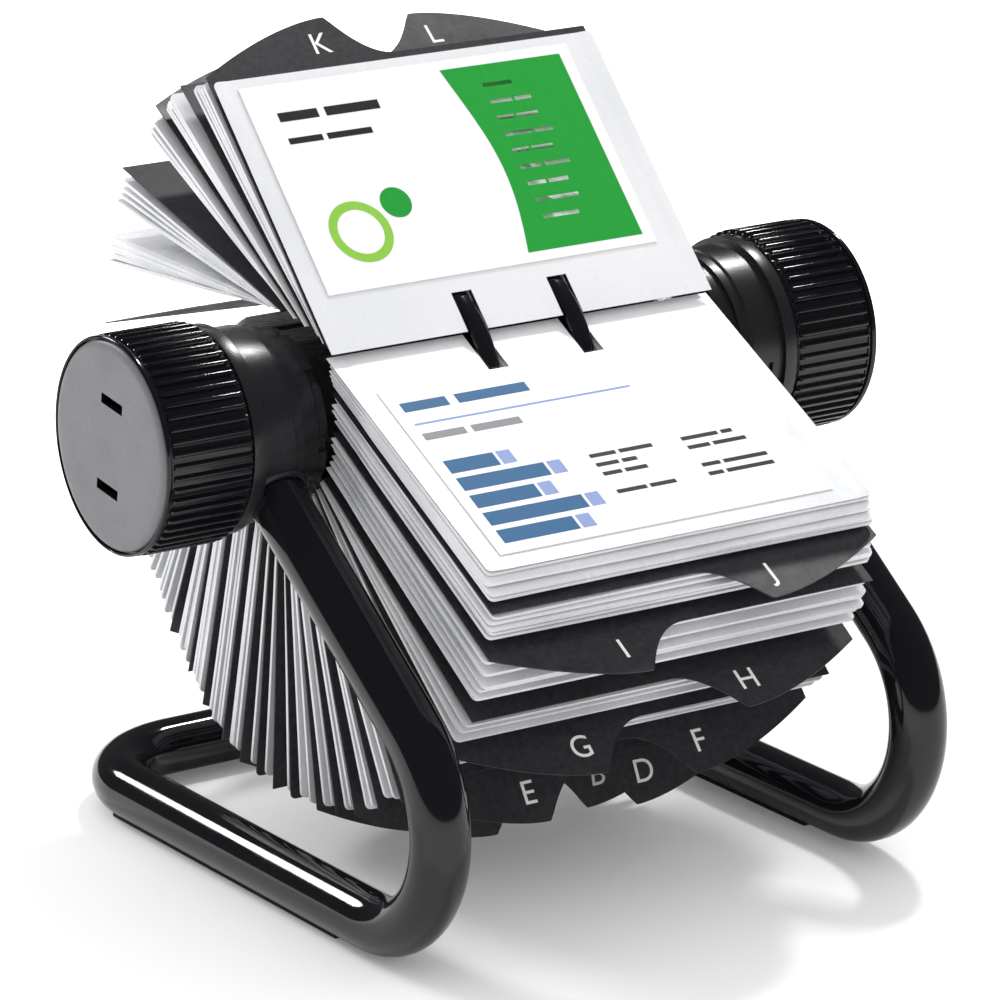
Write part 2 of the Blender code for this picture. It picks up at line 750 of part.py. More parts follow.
def notched_outline(half_width, start, notch_end, outer_edge):
    """A leaf outline: binding edge with two open notches, sides, and the outer edge's points."""
    half_notch = NOTCH_WIDTH / 2
    binding = [(-half_width, start)]
    if notch_end > start:
        for side in (-1, 1):
            middle = side * HOOP_OFFSET
            binding += [
                (middle - half_notch, start),
                (middle - half_notch, notch_end),
                (middle + half_notch, notch_end),
                (middle + half_notch, start),
            ]
    binding.append((half_width, start))
    return binding + outer_edge


def rounded_outer_edge(half_width, length):
    """The outer edge from right to left, with rounded corners."""
    radius = LEAF_CORNER_RADIUS
    right = arc((half_width - radius, length - radius), radius, 0.0, math.pi / 2, 2)
    left = arc((radius - half_width, length - radius), radius, math.pi / 2, math.pi, 2)
    return right + left


def tab_edge(half_width, length, peak_side):
    """The outer edge from right to left, with a tab that swells from one corner and falls."""
    rise = []
    for k in range(TAB_STEPS + 1):
        share = k / TAB_STEPS
        height = TAB_HEIGHT * (1.0 - (1.0 - share) ** TAB_RISE_POWER)
        rise.append((TAB_PEAK * share, height))
    fall = []
    for k in range(TAB_STEPS + 1):
        share = k / TAB_STEPS
        run = TAB_PEAK + TAB_FLAT + TAB_FALL * share
        fall.append((run, TAB_HEIGHT * (1.0 - share) ** 2))
    steps = rise + fall
    if peak_side < 0:
        points = [(run - half_width, length + height) for run, height in reversed(steps)]
        return [(half_width, length)] + points
    points = [(half_width - run, length + height) for run, height in steps]
    return points + [(-half_width, length)]


def build_divider(letters, angle, peak_side):
    """A thin index divider with a swept tab."""
    half_width = LEAF_WIDTH / 2
    edge = tab_edge(half_width, LEAF_LENGTH, peak_side)
    outline = notched_outline(half_width, 0.0, NOTCH_DEPTH, edge)
    return plate(
        "index_divider_" + letters,
        outline,
        DIVIDER_THICKNESS,
        "divider_black",
        leaf_matrix(angle),
    )


def sleeve_thickness():
    return CARD_THICKNESS + 2 * PAPER_GAP + 2 * SLEEVE_FILM


def build_sleeve(prefix, angle, card_margin, notch_depth):
    """An open clear sleeve with the card in it; both lie on the leaf's reading side."""
    half_width = LEAF_WIDTH / 2
    edge = rounded_outer_edge(half_width, LEAF_LENGTH)
    outline = [(-half_width, 0.0), (half_width, 0.0)] + edge
    place = leaf_matrix(angle)
    item = plate(prefix + "_sleeve", outline, sleeve_thickness(), "clear_film", place)
    half_cavity = CARD_THICKNESS / 2 + PAPER_GAP
    cavity = block(
        prefix + "_sleeve_cavity",
        (SLEEVE_SEAM - half_width, card_margin - PAPER_GAP, -half_cavity),
        (half_width - SLEEVE_SEAM, LEAF_LENGTH + CUT_OVERRUN, half_cavity),
        None,
        place,
    )
    combine(item, cavity, "DIFFERENCE")
    for side in (-1, 1):
        notch = block(
            f"{prefix}_sleeve_notch_{side + 1}",
            (side * HOOP_OFFSET - NOTCH_WIDTH / 2, -CUT_OVERRUN, -sleeve_thickness()),
            (side * HOOP_OFFSET + NOTCH_WIDTH / 2, notch_depth, sleeve_thickness()),
            None,
            place,
        )
        combine(item, notch, "DIFFERENCE")
    shift = CARD_SIDE_SHIFT
    card = block(
        prefix + "_name_card",
        (shift - CARD_WIDTH / 2, card_margin, -CARD_THICKNESS / 2),
        (shift + CARD_WIDTH / 2, card_margin + CARD_LENGTH, CARD_THICKNESS / 2),
        "card_white",
        place,
    )
    return item, card


def build_stack(letters, first, second):
    """A block of sleeves that fills the space between two leaves, curved at its outer edge."""
    half_width = LEAF_WIDTH / 2
    low_offset = -DIVIDER_THICKNESS / 2 - GAP
    high_offset = DIVIDER_THICKNESS / 2 + GAP
    if second == LOWER_SLEEVE_ANGLE:
        high_offset = sleeve_thickness() / 2 + TURNING_GAP

    def room(along):
        low = Vector(leaf_point(first, along, low_offset))
        high = Vector(leaf_point(second, along, high_offset))
        heading = Vector(ride(second)[1])
        normal = Vector((-heading[1], heading[0]))
        return (low - high).dot(normal)

    near = room(0.0)
    far = room(LEAF_LENGTH)
    start = 0.0
    if near < STACK_LEAST_THICKNESS:
        start = LEAF_LENGTH * (STACK_LEAST_THICKNESS - near) / (far - near)
    edge = rounded_outer_edge(half_width, LEAF_LENGTH)
    outline = notched_outline(half_width, start, NOTCH_DEPTH + STACK_NOTCH_EXTRA, edge)
    layer_count = max(1, round((second - first) / STACK_LAYER_DEGREES))
    work = bmesh.new()
    layers = []
    for k in range(layer_count + 1):
        share = 1.0 - k / layer_count
        between = first + (second - first) * share
        layer = []
        for x, along in outline:
            low = Vector(leaf_point(first, along, low_offset))
            high = Vector(leaf_point(second, along, high_offset))
            place = low.lerp(high, share)
            if 0 < k < layer_count and along > LEAF_LENGTH / 2:
                place = Vector(leaf_point(between, along, 0.0))
            layer.append(work.verts.new((x, place[0] + AXLE_SETBACK, place[1] + AXLE_HEIGHT)))
        layers.append(layer)
    work.faces.new(list(reversed(layers[0])))
    work.faces.new(layers[-1])
    for low, high in zip(layers, layers[1:]):
        for k in range(len(outline)):
            after = (k + 1) % len(outline)
            work.faces.new((low[k], low[after], high[after], high[k]))
    mesh = bpy.data.meshes.new("sleeve_block_" + letters)
    work.to_mesh(mesh)
    work.free()
    return add_object("sleeve_block_" + letters, mesh, "clear_film")


def build_leaves(wheel):
    """All leaves of the wheel, with the two open sleeves on pivots of their own."""
    angles = [angle for _, angle, _ in DIVIDERS] + [LOWER_SLEEVE_ANGLE]
    for index, (letters, angle, peak_side) in enumerate(DIVIDERS):
        hang(build_divider(letters, angle, peak_side), wheel)
        if letters in STACK_LETTERS:
            hang(build_stack(letters, angle, angles[index + 1]), wheel)
    spine_y, spine_z = leaf_point(UPPER_SLEEVE_ANGLE, 0.0, 0.0)
    for prefix, angle, margin, notch_depth in (
        ("upper", UPPER_SLEEVE_ANGLE, UPPER_CARD_MARGIN, UPPER_NOTCH_DEPTH),
        ("lower", LOWER_SLEEVE_ANGLE, LOWER_CARD_MARGIN, LOWER_NOTCH_DEPTH),
    ):
        spine = pivot(
            prefix + "_sleeve_pivot", AXLE_SETBACK + spine_y, AXLE_HEIGHT + spine_z, wheel
        )
        for item in build_sleeve(prefix, angle, margin, notch_depth):
            hang(item, spine)


def build():
    slope = build_frame_tube()
    wheel = pivot("wheel_pivot", AXLE_SETBACK, AXLE_HEIGHT)
    for side, word in ((-1, "left"), (1, "right")):
        build_foot_strip(word + "_foot_strip", side)
        build_housing(word + "_housing", side, slope)
        build_bush(word + "_bush", side)
        hang(build_knob(word + "_knob", side), wheel)
        hang(build_knob_cap(word + "_knob_cap", side), wheel)
        hang(build_side_disc(word + "_side_disc", side), wheel)
        hang(build_hoop(word + "_hoop", side), wheel)
    hang(build_axle(), wheel)
    hang(build_drum_core(), wheel)
    build_leaves(wheel)
    bpy.context.view_layer.update()


build()
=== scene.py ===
"""The looks of a rotary card file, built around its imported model.

Metres, +Z up. X runs along the wheel's axle and the front is -Y. Card angles are counted about
the axle from the front, so 0 degrees points to the front, 90 up, 180 to the back and 270 down.
"""

import math
import random

import bmesh
import bpy
import numpy as np
from mathutils import Matrix, Vector


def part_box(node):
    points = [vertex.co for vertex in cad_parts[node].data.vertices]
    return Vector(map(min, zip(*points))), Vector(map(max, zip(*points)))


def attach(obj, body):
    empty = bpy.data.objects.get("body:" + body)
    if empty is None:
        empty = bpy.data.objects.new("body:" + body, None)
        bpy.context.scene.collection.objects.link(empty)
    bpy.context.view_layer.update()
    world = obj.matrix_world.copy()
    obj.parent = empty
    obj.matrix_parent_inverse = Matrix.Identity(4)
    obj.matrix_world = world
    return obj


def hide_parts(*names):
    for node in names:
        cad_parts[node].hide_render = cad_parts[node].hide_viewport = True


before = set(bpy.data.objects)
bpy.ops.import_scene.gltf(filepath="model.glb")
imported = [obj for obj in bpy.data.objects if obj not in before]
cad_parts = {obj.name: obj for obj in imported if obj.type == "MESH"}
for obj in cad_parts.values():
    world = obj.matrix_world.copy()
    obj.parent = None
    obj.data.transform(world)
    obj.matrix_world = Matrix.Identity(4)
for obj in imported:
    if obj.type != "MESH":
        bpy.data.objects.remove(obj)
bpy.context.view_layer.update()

# Random draws are the same in every run
RANDOM = random.Random(11)

# Places and sizes taken from the frame
AXLE_LOW, AXLE_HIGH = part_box("axle")
AXLE_Y = (AXLE_LOW[1] + AXLE_HIGH[1]) / 2
AXLE_HEIGHT = (AXLE_LOW[2] + AXLE_HIGH[2]) / 2
HOOP_LOW, HOOP_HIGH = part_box("right_hoop")
HOOP_RADIUS = (HOOP_HIGH[2] - HOOP_LOW[2]) / 2
HOOP_OFFSET = (HOOP_HIGH[0] + HOOP_LOW[0]) / 2
HOUSING_LOW, HOUSING_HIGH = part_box("right_housing")
KNOB_LOW, KNOB_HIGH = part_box("right_knob")

# Stand
TUBE_RADIUS = 0.00675
TUBE_LIFT = 0.0007
RAIL_OFFSET = 0.0654
FRONT_BEND_RADIUS = 0.0273
FRONT_BEND_SETOUT = 0.0556
REAR_BEND_RADIUS = 0.024
REAR_BAR_SETBACK = 0.072
TUBE_END_FROM_AXLE = 0.0105
TUBE_SIDES = 48
BEND_STEPS = 30
FOOT_WIDTH = 0.0050
FOOT_ROUNDING = 0.0003

# Housings
HOUSING_WALL = 0.0025
HOUSING_FLANGE_RADIUS = 0.0238
HOUSING_STEP = 0.0015
HOUSING_BARREL_RADIUS = HOUSING_FLANGE_RADIUS - HOUSING_STEP
HOUSING_RIM_RADIUS = HOUSING_BARREL_RADIUS - HOUSING_STEP
HOUSING_RIM_END = 0.0602
HOUSING_FLANGE_START = 0.0711
HOUSING_GROOVE_DEPTH = 0.0006
HOUSING_GROOVE_WIDTH = 0.0024
HOUSING_GROOVE_SLANT = 0.0004
HOUSING_ROUNDING = 0.00035
HOUSING_POCKET_TURN = math.radians(14.0)
HOUSING_POCKET_SETBACK = 0.0036
HOUSING_POCKET_LENGTH = 0.0046
HOUSING_POCKET_WIDTH = 0.0090
HOUSING_POCKET_DEPTH = 0.0011
BUSH_SEAT_RADIUS = 0.0055
COLLAR_RADIUS = 0.0082
COLLAR_REACH = 0.0218
COLLAR_SINK = 0.0035
COLLAR_CHAMFER = 0.0006
COLLAR_PLAY = 0.0002
COLLAR_SIDES = 64

# Knobs
KNOB_RIBS = 56
KNOB_RIB_RADIUS = 0.0250
KNOB_ROOT_RADIUS = 0.0238
KNOB_RIM_RADIUS = 0.0248
KNOB_RIB_SETBACK = 0.0004
KNOB_RIB_RUN = 0.0012
KNOB_RIB_STEPS = 6
KNOB_RIM_WIDTH = 0.0018
KNOB_RIM_ROUNDING = 0.0005
KNOB_RIM_START = 0.0009
KNOB_RIM_CHAMFER = 0.0002
KNOB_GROOVE_TOP = 0.0005
KNOB_GROOVE_FOOT = 0.0004
KNOB_INNER_CHAMFER = 0.0005
KNOB_WALL = 0.0028
KNOB_HOLLOW_END = 0.0085
KNOB_POCKET_RADIUS = 0.0185
KNOB_POCKET_DEPTH = 0.0050
CAP_RADIUS = 0.0238
CAP_SEAT_DEPTH = 0.0020
CAP_PLAY = 0.0003
CAP_LIP_CHAMFER = 0.0002
CAP_RISE = 0.0004
CAP_DISH_DEPTH = 0.00015
CAP_DISH_RISE = 0.0002
CAP_DISH_SHARES = (0.3, 0.55, 0.75)
CAP_EDGE_WIDTH = 0.0022
CAP_EDGE_DROP = 0.0012
CAP_EDGE_STRETCH = 1.83
CAP_EDGE_STEPS = 8
CAP_SLOT_LENGTH = 0.0090
CAP_SLOT_WIDTH = 0.0024
CAP_SLOT_OFFSET = 0.0102
# How far under the cap's top the painted shade on the slot walls begins
CAP_SLOT_SHADE_DEPTH = 0.0004
CAP_TURN = math.radians(8.0)

# Drum and hoops
DRUM_RADIUS = 0.0160
SIDE_DISC_RADIUS = 0.0202
SIDE_DISC_BORE_RADIUS = 0.0035
SIDE_DISC_THICKNESS = 0.0025
SIDE_DISC_CHAMFER = 0.0002
SIDE_DISC_NOTCHES = 8
SIDE_DISC_NOTCH_DEPTH = 0.0010
SIDE_DISC_NOTCH_FOOT = 0.0018
SIDE_DISC_LAND_SHARES = (0.0, 0.78)
SIDE_DISC_NOTCH_SHARES = (0.785, 0.995)
HOOP_HEAD_THICKNESS = 0.0018
HOOP_HEAD_WIDTH = 0.0045
HOOP_WEB_THICKNESS = 0.0015
HOOP_CORNER = 0.0003
HOOP_CROWN = ((0.0007, 0.0), (0.0003, 0.0004), (0.0, 0.0010))
HOOP_FILLET = 0.0004
HOOP_SIDES = 160

# Leaves
LEAF_WIDTH = 0.1040
LEAF_LENGTH = 0.0720
LEAF_CORNER_RADIUS = 0.0013
NOTCH_DEPTH = 0.0112
OPEN_NOTCH_DEPTHS = {"upper": 0.0102, "lower": 0.0122}
NOTCH_WIDTH = 0.0055
LEAF_CORNER_SHARES = (0.0, 0.1, 0.3, 0.6, 1.0)
LEAF_EVEN_START = 0.004
LEAF_EVEN_END = 0.003
NOTCH_TRIM = 0.0001
DIVIDER_STEP = 0.0012
SLEEVE_STEP = 0.0100
OPEN_SLEEVE_STEP = 0.0060
DIVIDER_THICKNESS = 0.0003
TAB_HEIGHT = 0.0116
TAB_PEAK = 0.0355
TAB_FLAT = 0.0010
TAB_FALL = 0.0145
TAB_RISE_POWER = 1.6
SLEEVE_THICKNESS = 0.0009
FILM_THICKNESS = 0.0002
FILM_FILL_SHARE = 0.98
SEAM_WIDTH = 0.0020
SEAM_STEP_SHARES = (0.75, 1.5, 2.2)
STACK_SLEEVE_THICKNESS = 0.0008
STACK_ROOT_THICKNESS_SHARE = 0.35
STACK_CLEARANCE = 0.0005
STACK_SIDE_PLAY = 0.0006
STACK_TRIM_LEAST = 0.0004
STACK_TRIM_MOST = 0.0022
STACK_WAVE_SHARE = 0.19
STACK_TWIST_SHARE = 0.6
CARD_WIDTH = 0.0900
CARD_LENGTH = 0.0550
CARD_THICKNESS = 0.0003
CARD_SIDE_SHIFT = -0.0015
CARD_MARGINS = {"upper": 0.0144, "lower": 0.0131}
CARD_ROUNDING = 0.00005
PRINT_THICKNESS = 0.00003

# How the leaves ride on the hoops: the angle where a leaf hooks on, its lean past the radial
# direction there (backwards is positive) and the share of the hanging slack that it takes up
RIDE_ANGLES = (
    *(65.0, 70.2, 83.0, 96.2, 114.2, 136.0, 188.0, 209.3),
    *(222.6, 239.5, 250.0, 265.0, 300.0, 326.0, 352.7, 383.6),
)
RIDE_LEANS = (
    *(68.0, 63.4, 57.5, 52.5, 50.5, 59.0, 54.0, 43.0),
    *(32.2, 17.0, 8.0, 3.0, 0.0, 0.0, -23.0, -51.0),
)
RIDE_SLACK_SHARES = (
    *(0.50, 0.50, 0.50, 0.50, 0.50, 0.55, 0.60, 0.70),
    *(0.80, 0.90, 1.0, 1.0, 1.0, 1.0, 0.90, 0.84),
)
HANGING_SLACK = 0.0022
OPEN_SLEEVE_ANGLES = {"upper": 65.0, "lower": 383.6}
# Each divider's index letters, hook angle and the side where its tab peaks
DIVIDERS = (
    ("K", 70.2, -1),
    ("L", 83.0, 1),
    ("M", 95.5, -1),
    ("N", 113.5, 1),
    ("O", 136.4, -1),
    ("PQ", 167.0, 1),
    ("R", 197.5, -1),
    ("S", 209.5, 1),
    ("T", 222.5, -1),
    ("UV", 239.5, 1),
    ("W", 251.0, -1),
    ("XYZ", 263.0, 1),
    ("A", 276.0, -1),
    ("B", 281.5, 1),
    ("C", 287.0, -1),
    ("D", 294.0, 1),
    ("E", 301.0, -1),
    ("F", 309.5, 1),
    ("G", 317.0, -1),
    ("H", 325.5, 1),
    ("I", 350.5, -1),
    ("J", 368.0, 1),
)
# Plain dark leaves without a tab, by hook angle
BLANK_LEAVES = (257.0, 268.5)
# Bunches of sleeves behind each divider: where a bunch starts and ends as a share of the room
# up to the next divider, and how many sleeves it has
STACKS = {
    "K": ((0.10, 0.80, 4),),
    "L": ((0.35, 0.96, 4),),
    "M": ((0.10, 0.40, 4),),
    "N": ((0.04, 0.22, 4), (0.44, 0.64, 8)),
    "O": ((0.50, 0.96, 6),),
    "PQ": ((0.04, 1.0, 13),),
    "R": ((0.20, 1.0, 4),),
    "S": ((0.20, 1.0, 4),),
    "T": ((0.22, 1.0, 5),),
    "UV": ((0.26, 1.0, 3),),
    "W": ((0.18, 0.50, 1), (0.64, 1.0, 1)),
    "XYZ": ((0.16, 0.44, 1), (0.58, 1.0, 2)),
    "A": ((0.34, 1.0, 2),),
    "B": ((0.34, 1.0, 2),),
    "C": ((0.32, 1.0, 2),),
    "D": ((0.32, 1.0, 2),),
    "E": ((0.30, 1.0, 2),),
    "F": ((0.28, 1.0, 2),),
    "G": ((0.24, 1.0, 3),),
    "H": ((0.20, 1.0, 6),),
    "I": ((0.20, 1.0, 5),),
    "J": ((0.16, 1.0, 5),),
}
LETTER_SIZE = 0.0079
LETTER_ALONG = 0.0765
LETTER_SIDE_SHIFT = -0.0030
LONG_LETTERS_SHARE = 0.8

# Prints, from a card's lower left corner. The upper card has a field with a wavy edge at its
# right, a ring and a dot. The lower card has a bar chart.
FIELD_MARGINS = (0.0030, 0.0025)
FIELD_EDGE = 0.055
FIELD_WAVE = 0.0035
FIELD_WAVE_TURN = 1.15 * math.pi
FIELD_HEIGHT = 0.050
FIELD_STEPS = 24
RING_CENTRE = (0.0150, 0.0145)
RING_RADII = (0.0080, 0.0058)
DOT_CENTRE = (0.0270, 0.0205)
DOT_RADIUS = 0.0040
DISC_POINTS = 40
CHART_REACHES = (0.020, 0.026, 0.017, 0.023, 0.013)
CHART_CORNER = 0.0030
CHART_PITCH = 0.0058
CHART_BAR_HEIGHT = 0.0042
CHART_GAP = 0.0008
CHART_END_WIDTH = 0.0036
RULE_PLACE = (0.0030, 0.0425)
RULE_SIZE = (0.058, 0.0006)
# Bars in place of text: left end and height of the first row, bar height, row pitch, and the
# widths of the words in each row
WORD_GAP_SHARE = 0.8
UPPER_NAME = (0.0070, 0.0450, 0.0024, 0.0050, ((0.0105, 0.0145),))
UPPER_TITLE = (0.0070, 0.0390, 0.0016, 0.0030, ((0.0090, 0.0120),))
UPPER_ADDRESS_ROWS = (
    *((0.0080,), (0.0060, 0.0045), (0.0045, 0.0060), (0.0075, 0.0050), (0.0045, 0.0060)),
    *((0.0060, 0.0070), (0.0050, 0.0055), (0.0120,), (0.0100,)),
)
UPPER_ADDRESS = (0.0630, 0.0465, 0.0010, 0.0045, UPPER_ADDRESS_ROWS)
LOWER_NAME = (0.0030, 0.0470, 0.0030, 0.0060, ((0.0120, 0.0190),))
LOWER_TITLE = (0.0030, 0.0375, 0.0022, 0.0040, ((0.0110, 0.0130),))
LOWER_LEFT_ROWS = ((0.0070, 0.0090), (0.0060, 0.0040), (0.0050, 0.0060), (), (0.0080, 0.0070))
LOWER_RIGHT_ROWS = ((0.0100, 0.0030), (0.0060, 0.0090), (), (0.0050, 0.0120), (0.0040, 0.0130))
LOWER_LEFT_WORDS = (0.0380, 0.0230, 0.0012, 0.0030, LOWER_LEFT_ROWS)
LOWER_RIGHT_WORDS = (0.0630, 0.0230, 0.0012, 0.0030, LOWER_RIGHT_ROWS)

# Camera, as the photograph was taken
CAMERA_PLACE = (-0.6813, -1.0137, 0.4408)
CAMERA_YAW = math.radians(34.15)
CAMERA_PITCH = math.radians(16.45)
CAMERA_ROLL = math.radians(0.08)
CAMERA_LENS_MM = 198.2
CAMERA_SENSOR_MM = 36.0
CAMERA_CLIP_START = 0.05
CAMERA_CLIP_END = 20.0

# Floor: half its size, its shade, and a glow for the camera alone that grows with the distance
# from the object, so that the floor ends in the white behind it
FLOOR_REACH = 6.0
FLOOR_SHADE = 0.88
GLOW_DISTANCES = (0.16, 0.50)
GLOW_LEVELS = (0.10, 0.90)

# Lamps: place, size and power of each. They face the target.
LAMP_TARGET = (0.0, 0.0, 0.1)
LAMPS = {
    "key": ((-0.50, 1.20, 0.85), (0.50, 0.30), 10.0),
    "rib_light": ((0.67, 0.38, 1.10), (0.10, 0.20), 8.0),
}

# Light from the surroundings: its brightest direction, its levels and the level in reflections
FILL_DIRECTION = (0.1, -0.6, 0.79)
FILL_LOW = 0.55
FILL_HIGH = 1.15
REFLECTED_LEVEL = 0.06

SMOOTH_ANGLE = math.radians(32.0)
TURNED_SIDES = 128
WELD_DISTANCE = 0.000002
CUT_OVERRUN = 0.0010
FACE_PLAY = 0.00002
NOISE_RANGE = (0.3, 0.7)
INKS = {
    "green": (0.006, 0.32, 0.03),
    "pale_green": (0.26, 0.56, 0.06),
    "blue": (0.012, 0.11, 0.26),
    "pale_blue": (0.24, 0.33, 0.60),
    "grey": (0.25, 0.25, 0.27),
    "black": (0.015, 0.015, 0.017),
    "white": (0.85, 0.85, 0.85),
}
INK_DARK_SHARE = 0.93
SIDES = {"left": -1, "right": 1}


class Finish:
    """A Principled material whose colour, roughness and surface vary by noises.

    tint and sheen are (noise, low, high) and bump is (noise, strength, depth in metres), where
    noise is a scale, a detail and a stretch, of which the last two may be left out.
    """

    def __init__(self, name, colour, roughness, tint=None, sheen=None, bump=None, **sockets):
        self.material = bpy.data.materials.new(name)
        self.material.use_nodes = True
        self.nodes = self.material.node_tree.nodes
        self.links = self.material.node_tree.links
        self.inputs = self.nodes["Principled BSDF"].inputs
        self.inputs["Base Color"].default_value = (*colour, 1.0)
        self.inputs["Roughness"].default_value = roughness
        for socket, value in sockets.items():
            self.inputs[socket.replace("_", " ")].default_value = value
        self.place = self.nodes.new("ShaderNodeTexCoord").outputs["Object"]
        if tint:
            self.vary_colour(*tint)
        if sheen:
            self.vary_roughness(*sheen)
        if bump:
            self.roughen(*bump)

    def stretched(self, scale):
        """The object's coordinates scaled unevenly, for streaks."""
        mapping = self.nodes.new("ShaderNodeMapping")
        mapping.inputs["Scale"].default_value = scale
        self.links.new(self.place, mapping.inputs["Vector"])
        return mapping.outputs["Vector"]

    def noise(self, scale, detail=3.0, stretch=None):
        node = self.nodes.new("ShaderNodeTexNoise")
        node.inputs["Scale"].default_value = scale
        node.inputs["Detail"].default_value = detail
        self.links.new(self.stretched(stretch) if stretch else self.place, node.inputs["Vector"])
        return node.outputs["Fac"]

    def vary_colour(self, noise, low, high):
        ramp = self.nodes.new("ShaderNodeValToRGB")
        for element, position, colour in zip(ramp.color_ramp.elements, NOISE_RANGE, (low, high)):
            element.position = position
            element.color = (*colour, 1.0)
        self.links.new(self.noise(*noise), ramp.inputs["Fac"])
        self.links.new(ramp.outputs["Color"], self.inputs["Base Color"])

    def vary_roughness(self, noise, low, high):
        node = self.nodes.new("ShaderNodeMapRange")
        node.inputs["From Min"].default_value, node.inputs["From Max"].default_value = NOISE_RANGE
        node.inputs["To Min"].default_value = low
        node.inputs["To Max"].default_value = high
        self.links.new(self.noise(*noise), node.inputs["Value"])
        self.links.new(node.outputs["Result"], self.inputs["Roughness"])

    def roughen(self, noise, strength, depth):
        node = self.nodes.new("ShaderNodeBump")
        node.inputs["Strength"].default_value = strength
        node.inputs["Distance"].default_value = depth
        self.links.new(self.noise(*noise), node.inputs["Height"])
        self.links.new(node.outputs["Normal"], self.inputs["Normal"])


def make_finishes():
    made = {
        "lacquer": Finish(
            *("black_lacquer", (0.006, 0.006, 0.008), 0.09),
            sheen=((60.0,), 0.05, 0.12),
            bump=((420.0, 2.0), 0.05, 0.0002),
        ),
        "gloss": Finish(
            *("gloss_black_plastic", (0.006, 0.006, 0.008), 0.12),
            sheen=((180.0,), 0.07, 0.14),
            bump=((1400.0, 4.0), 0.08, 0.0001),
        ),
        "satin": Finish(
            *("satin_black_plastic", (0.012, 0.012, 0.014), 0.38),
            sheen=((90.0,), 0.22, 0.34),
            bump=((2600.0, 5.0), 0.18, 0.00012),
        ),
        "cap": Finish(
            *("cap_grey_plastic", (0.16, 0.16, 0.172), 0.42),
            tint=((900.0, 5.0), (0.15, 0.15, 0.162), (0.17, 0.17, 0.183)),
            sheen=((120.0,), 0.36, 0.48),
            bump=((4200.0, 4.0), 0.2, 0.0001),
        ),
        "rubber": Finish(
            *("black_rubber", (0.012, 0.012, 0.012), 0.8),
            sheen=((300.0,), 0.7, 0.9),
            bump=((3000.0, 5.0), 0.4, 0.0002),
        ),
        "steel": Finish(
            *("ground_steel", (0.55, 0.55, 0.56), 0.28),
            sheen=((900.0, 3.0, (1.0, 12.0, 12.0)), 0.2, 0.38),
            bump=((1500.0, 3.0, (1.0, 14.0, 14.0)), 0.2, 0.00005),
            Metallic=1.0,
        ),
        "bearing": Finish(
            *("bearing_plastic", (0.72, 0.71, 0.66), 0.45),
            bump=((1800.0,), 0.1, 0.0001),
        ),
        "divider": Finish(
            *("divider_sheet", (0.02, 0.02, 0.023), 0.5),
            tint=((700.0, 6.0), (0.016, 0.016, 0.020), (0.032, 0.032, 0.037)),
            sheen=((150.0,), 0.42, 0.58),
            bump=((3500.0, 4.0), 0.25, 0.0001),
        ),
        "stack": Finish(
            *("stack_sleeve_film", (0.72, 0.73, 0.75), 0.28),
            tint=((26.0, 2.0, (1.0, 2.0, 2.0)), (0.66, 0.67, 0.69), (0.80, 0.80, 0.82)),
            sheen=((110.0,), 0.2, 0.36),
            bump=((38.0, 2.0), 0.12, 0.0015),
        ),
        "frosted": Finish(
            *("frosted_film", (0.74, 0.75, 0.77), 0.24),
            tint=((18.0, 2.0), (0.69, 0.70, 0.72), (0.79, 0.79, 0.81)),
            sheen=((140.0,), 0.18, 0.32),
            bump=((30.0, 2.0), 0.1, 0.0015),
        ),
        "clear": Finish(
            *("clear_film", (0.5, 0.5, 0.52), 0.08),
            bump=((24.0, 2.0), 0.08, 0.0015),
            Alpha=0.012,
        ),
        "card": Finish(
            *("white_card", (0.86, 0.86, 0.87), 0.55),
            tint=((1200.0, 5.0), (0.84, 0.84, 0.85), (0.88, 0.88, 0.89)),
            bump=((2400.0, 6.0), 0.08, 0.00006),
        ),
    }
    for name, colour in INKS.items():
        dark = tuple(INK_DARK_SHARE * part for part in colour)
        made["ink_" + name] = Finish(
            *("ink_" + name, colour, 0.45),
            tint=((1500.0, 5.0), dark, colour),
            bump=((2600.0, 5.0), 0.06, 0.00005),
            Specular_IOR_Level=0.08,
        )
    return made


FINISHES = make_finishes()


def linked(name, data):
    """A new object in the scene."""
    item = bpy.data.objects.new(name, data)
    bpy.context.scene.collection.objects.link(item)
    return item


def final_mesh(holder):
    """The mesh that an object shows, with all its modifiers. The object itself goes."""
    graph = bpy.context.evaluated_depsgraph_get()
    mesh = bpy.data.meshes.new_from_object(holder.evaluated_get(graph))
    bpy.data.objects.remove(holder, do_unlink=True)
    return mesh


def place_piece(name, mesh, finish, body, nodes=(), smooth=SMOOTH_ANGLE):
    """Links a mesh as a piece of the object, with its finish and its body, and hides the frame
    parts that it stands for.
    """
    item = linked(name, mesh)
    mesh.materials.clear()
    mesh.materials.append(FINISHES[finish].material)
    mesh.shade_smooth()
    mesh.set_sharp_from_angle(angle=smooth)
    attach(item, body)
    if nodes:
        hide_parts(*nodes)
    return item


def evaluated_mesh(mesh, *modifiers):
    """A mesh with modifiers applied. Each is a (type, settings) pair."""
    holder = linked("holder", mesh)
    holder.vertex_groups.new(name="filled")
    for kind, settings in modifiers:
        modifier = holder.modifiers.new(kind.lower(), kind)
        for setting, value in settings.items():
            setattr(modifier, setting, value)
    return final_mesh(holder)


def bevel(width, segments=2, degrees=40.0):
    return (
        "BEVEL",
        {
            "width": width,
            "segments": segments,
            "limit_method": "ANGLE",
            "angle_limit": math.radians(degrees),
            "harden_normals": False,
        },
    )


def solidify(thickness):
    return ("SOLIDIFY", {"thickness": thickness, "offset": 0.0})


def filled_solidify(thickness, empty_share):
    """Full thickness where the sheet's weights are 1 and a share of it where they are 0."""
    kind, settings = solidify(thickness)
    return (kind, {**settings, "vertex_group": "filled", "thickness_vertex_group": empty_share})


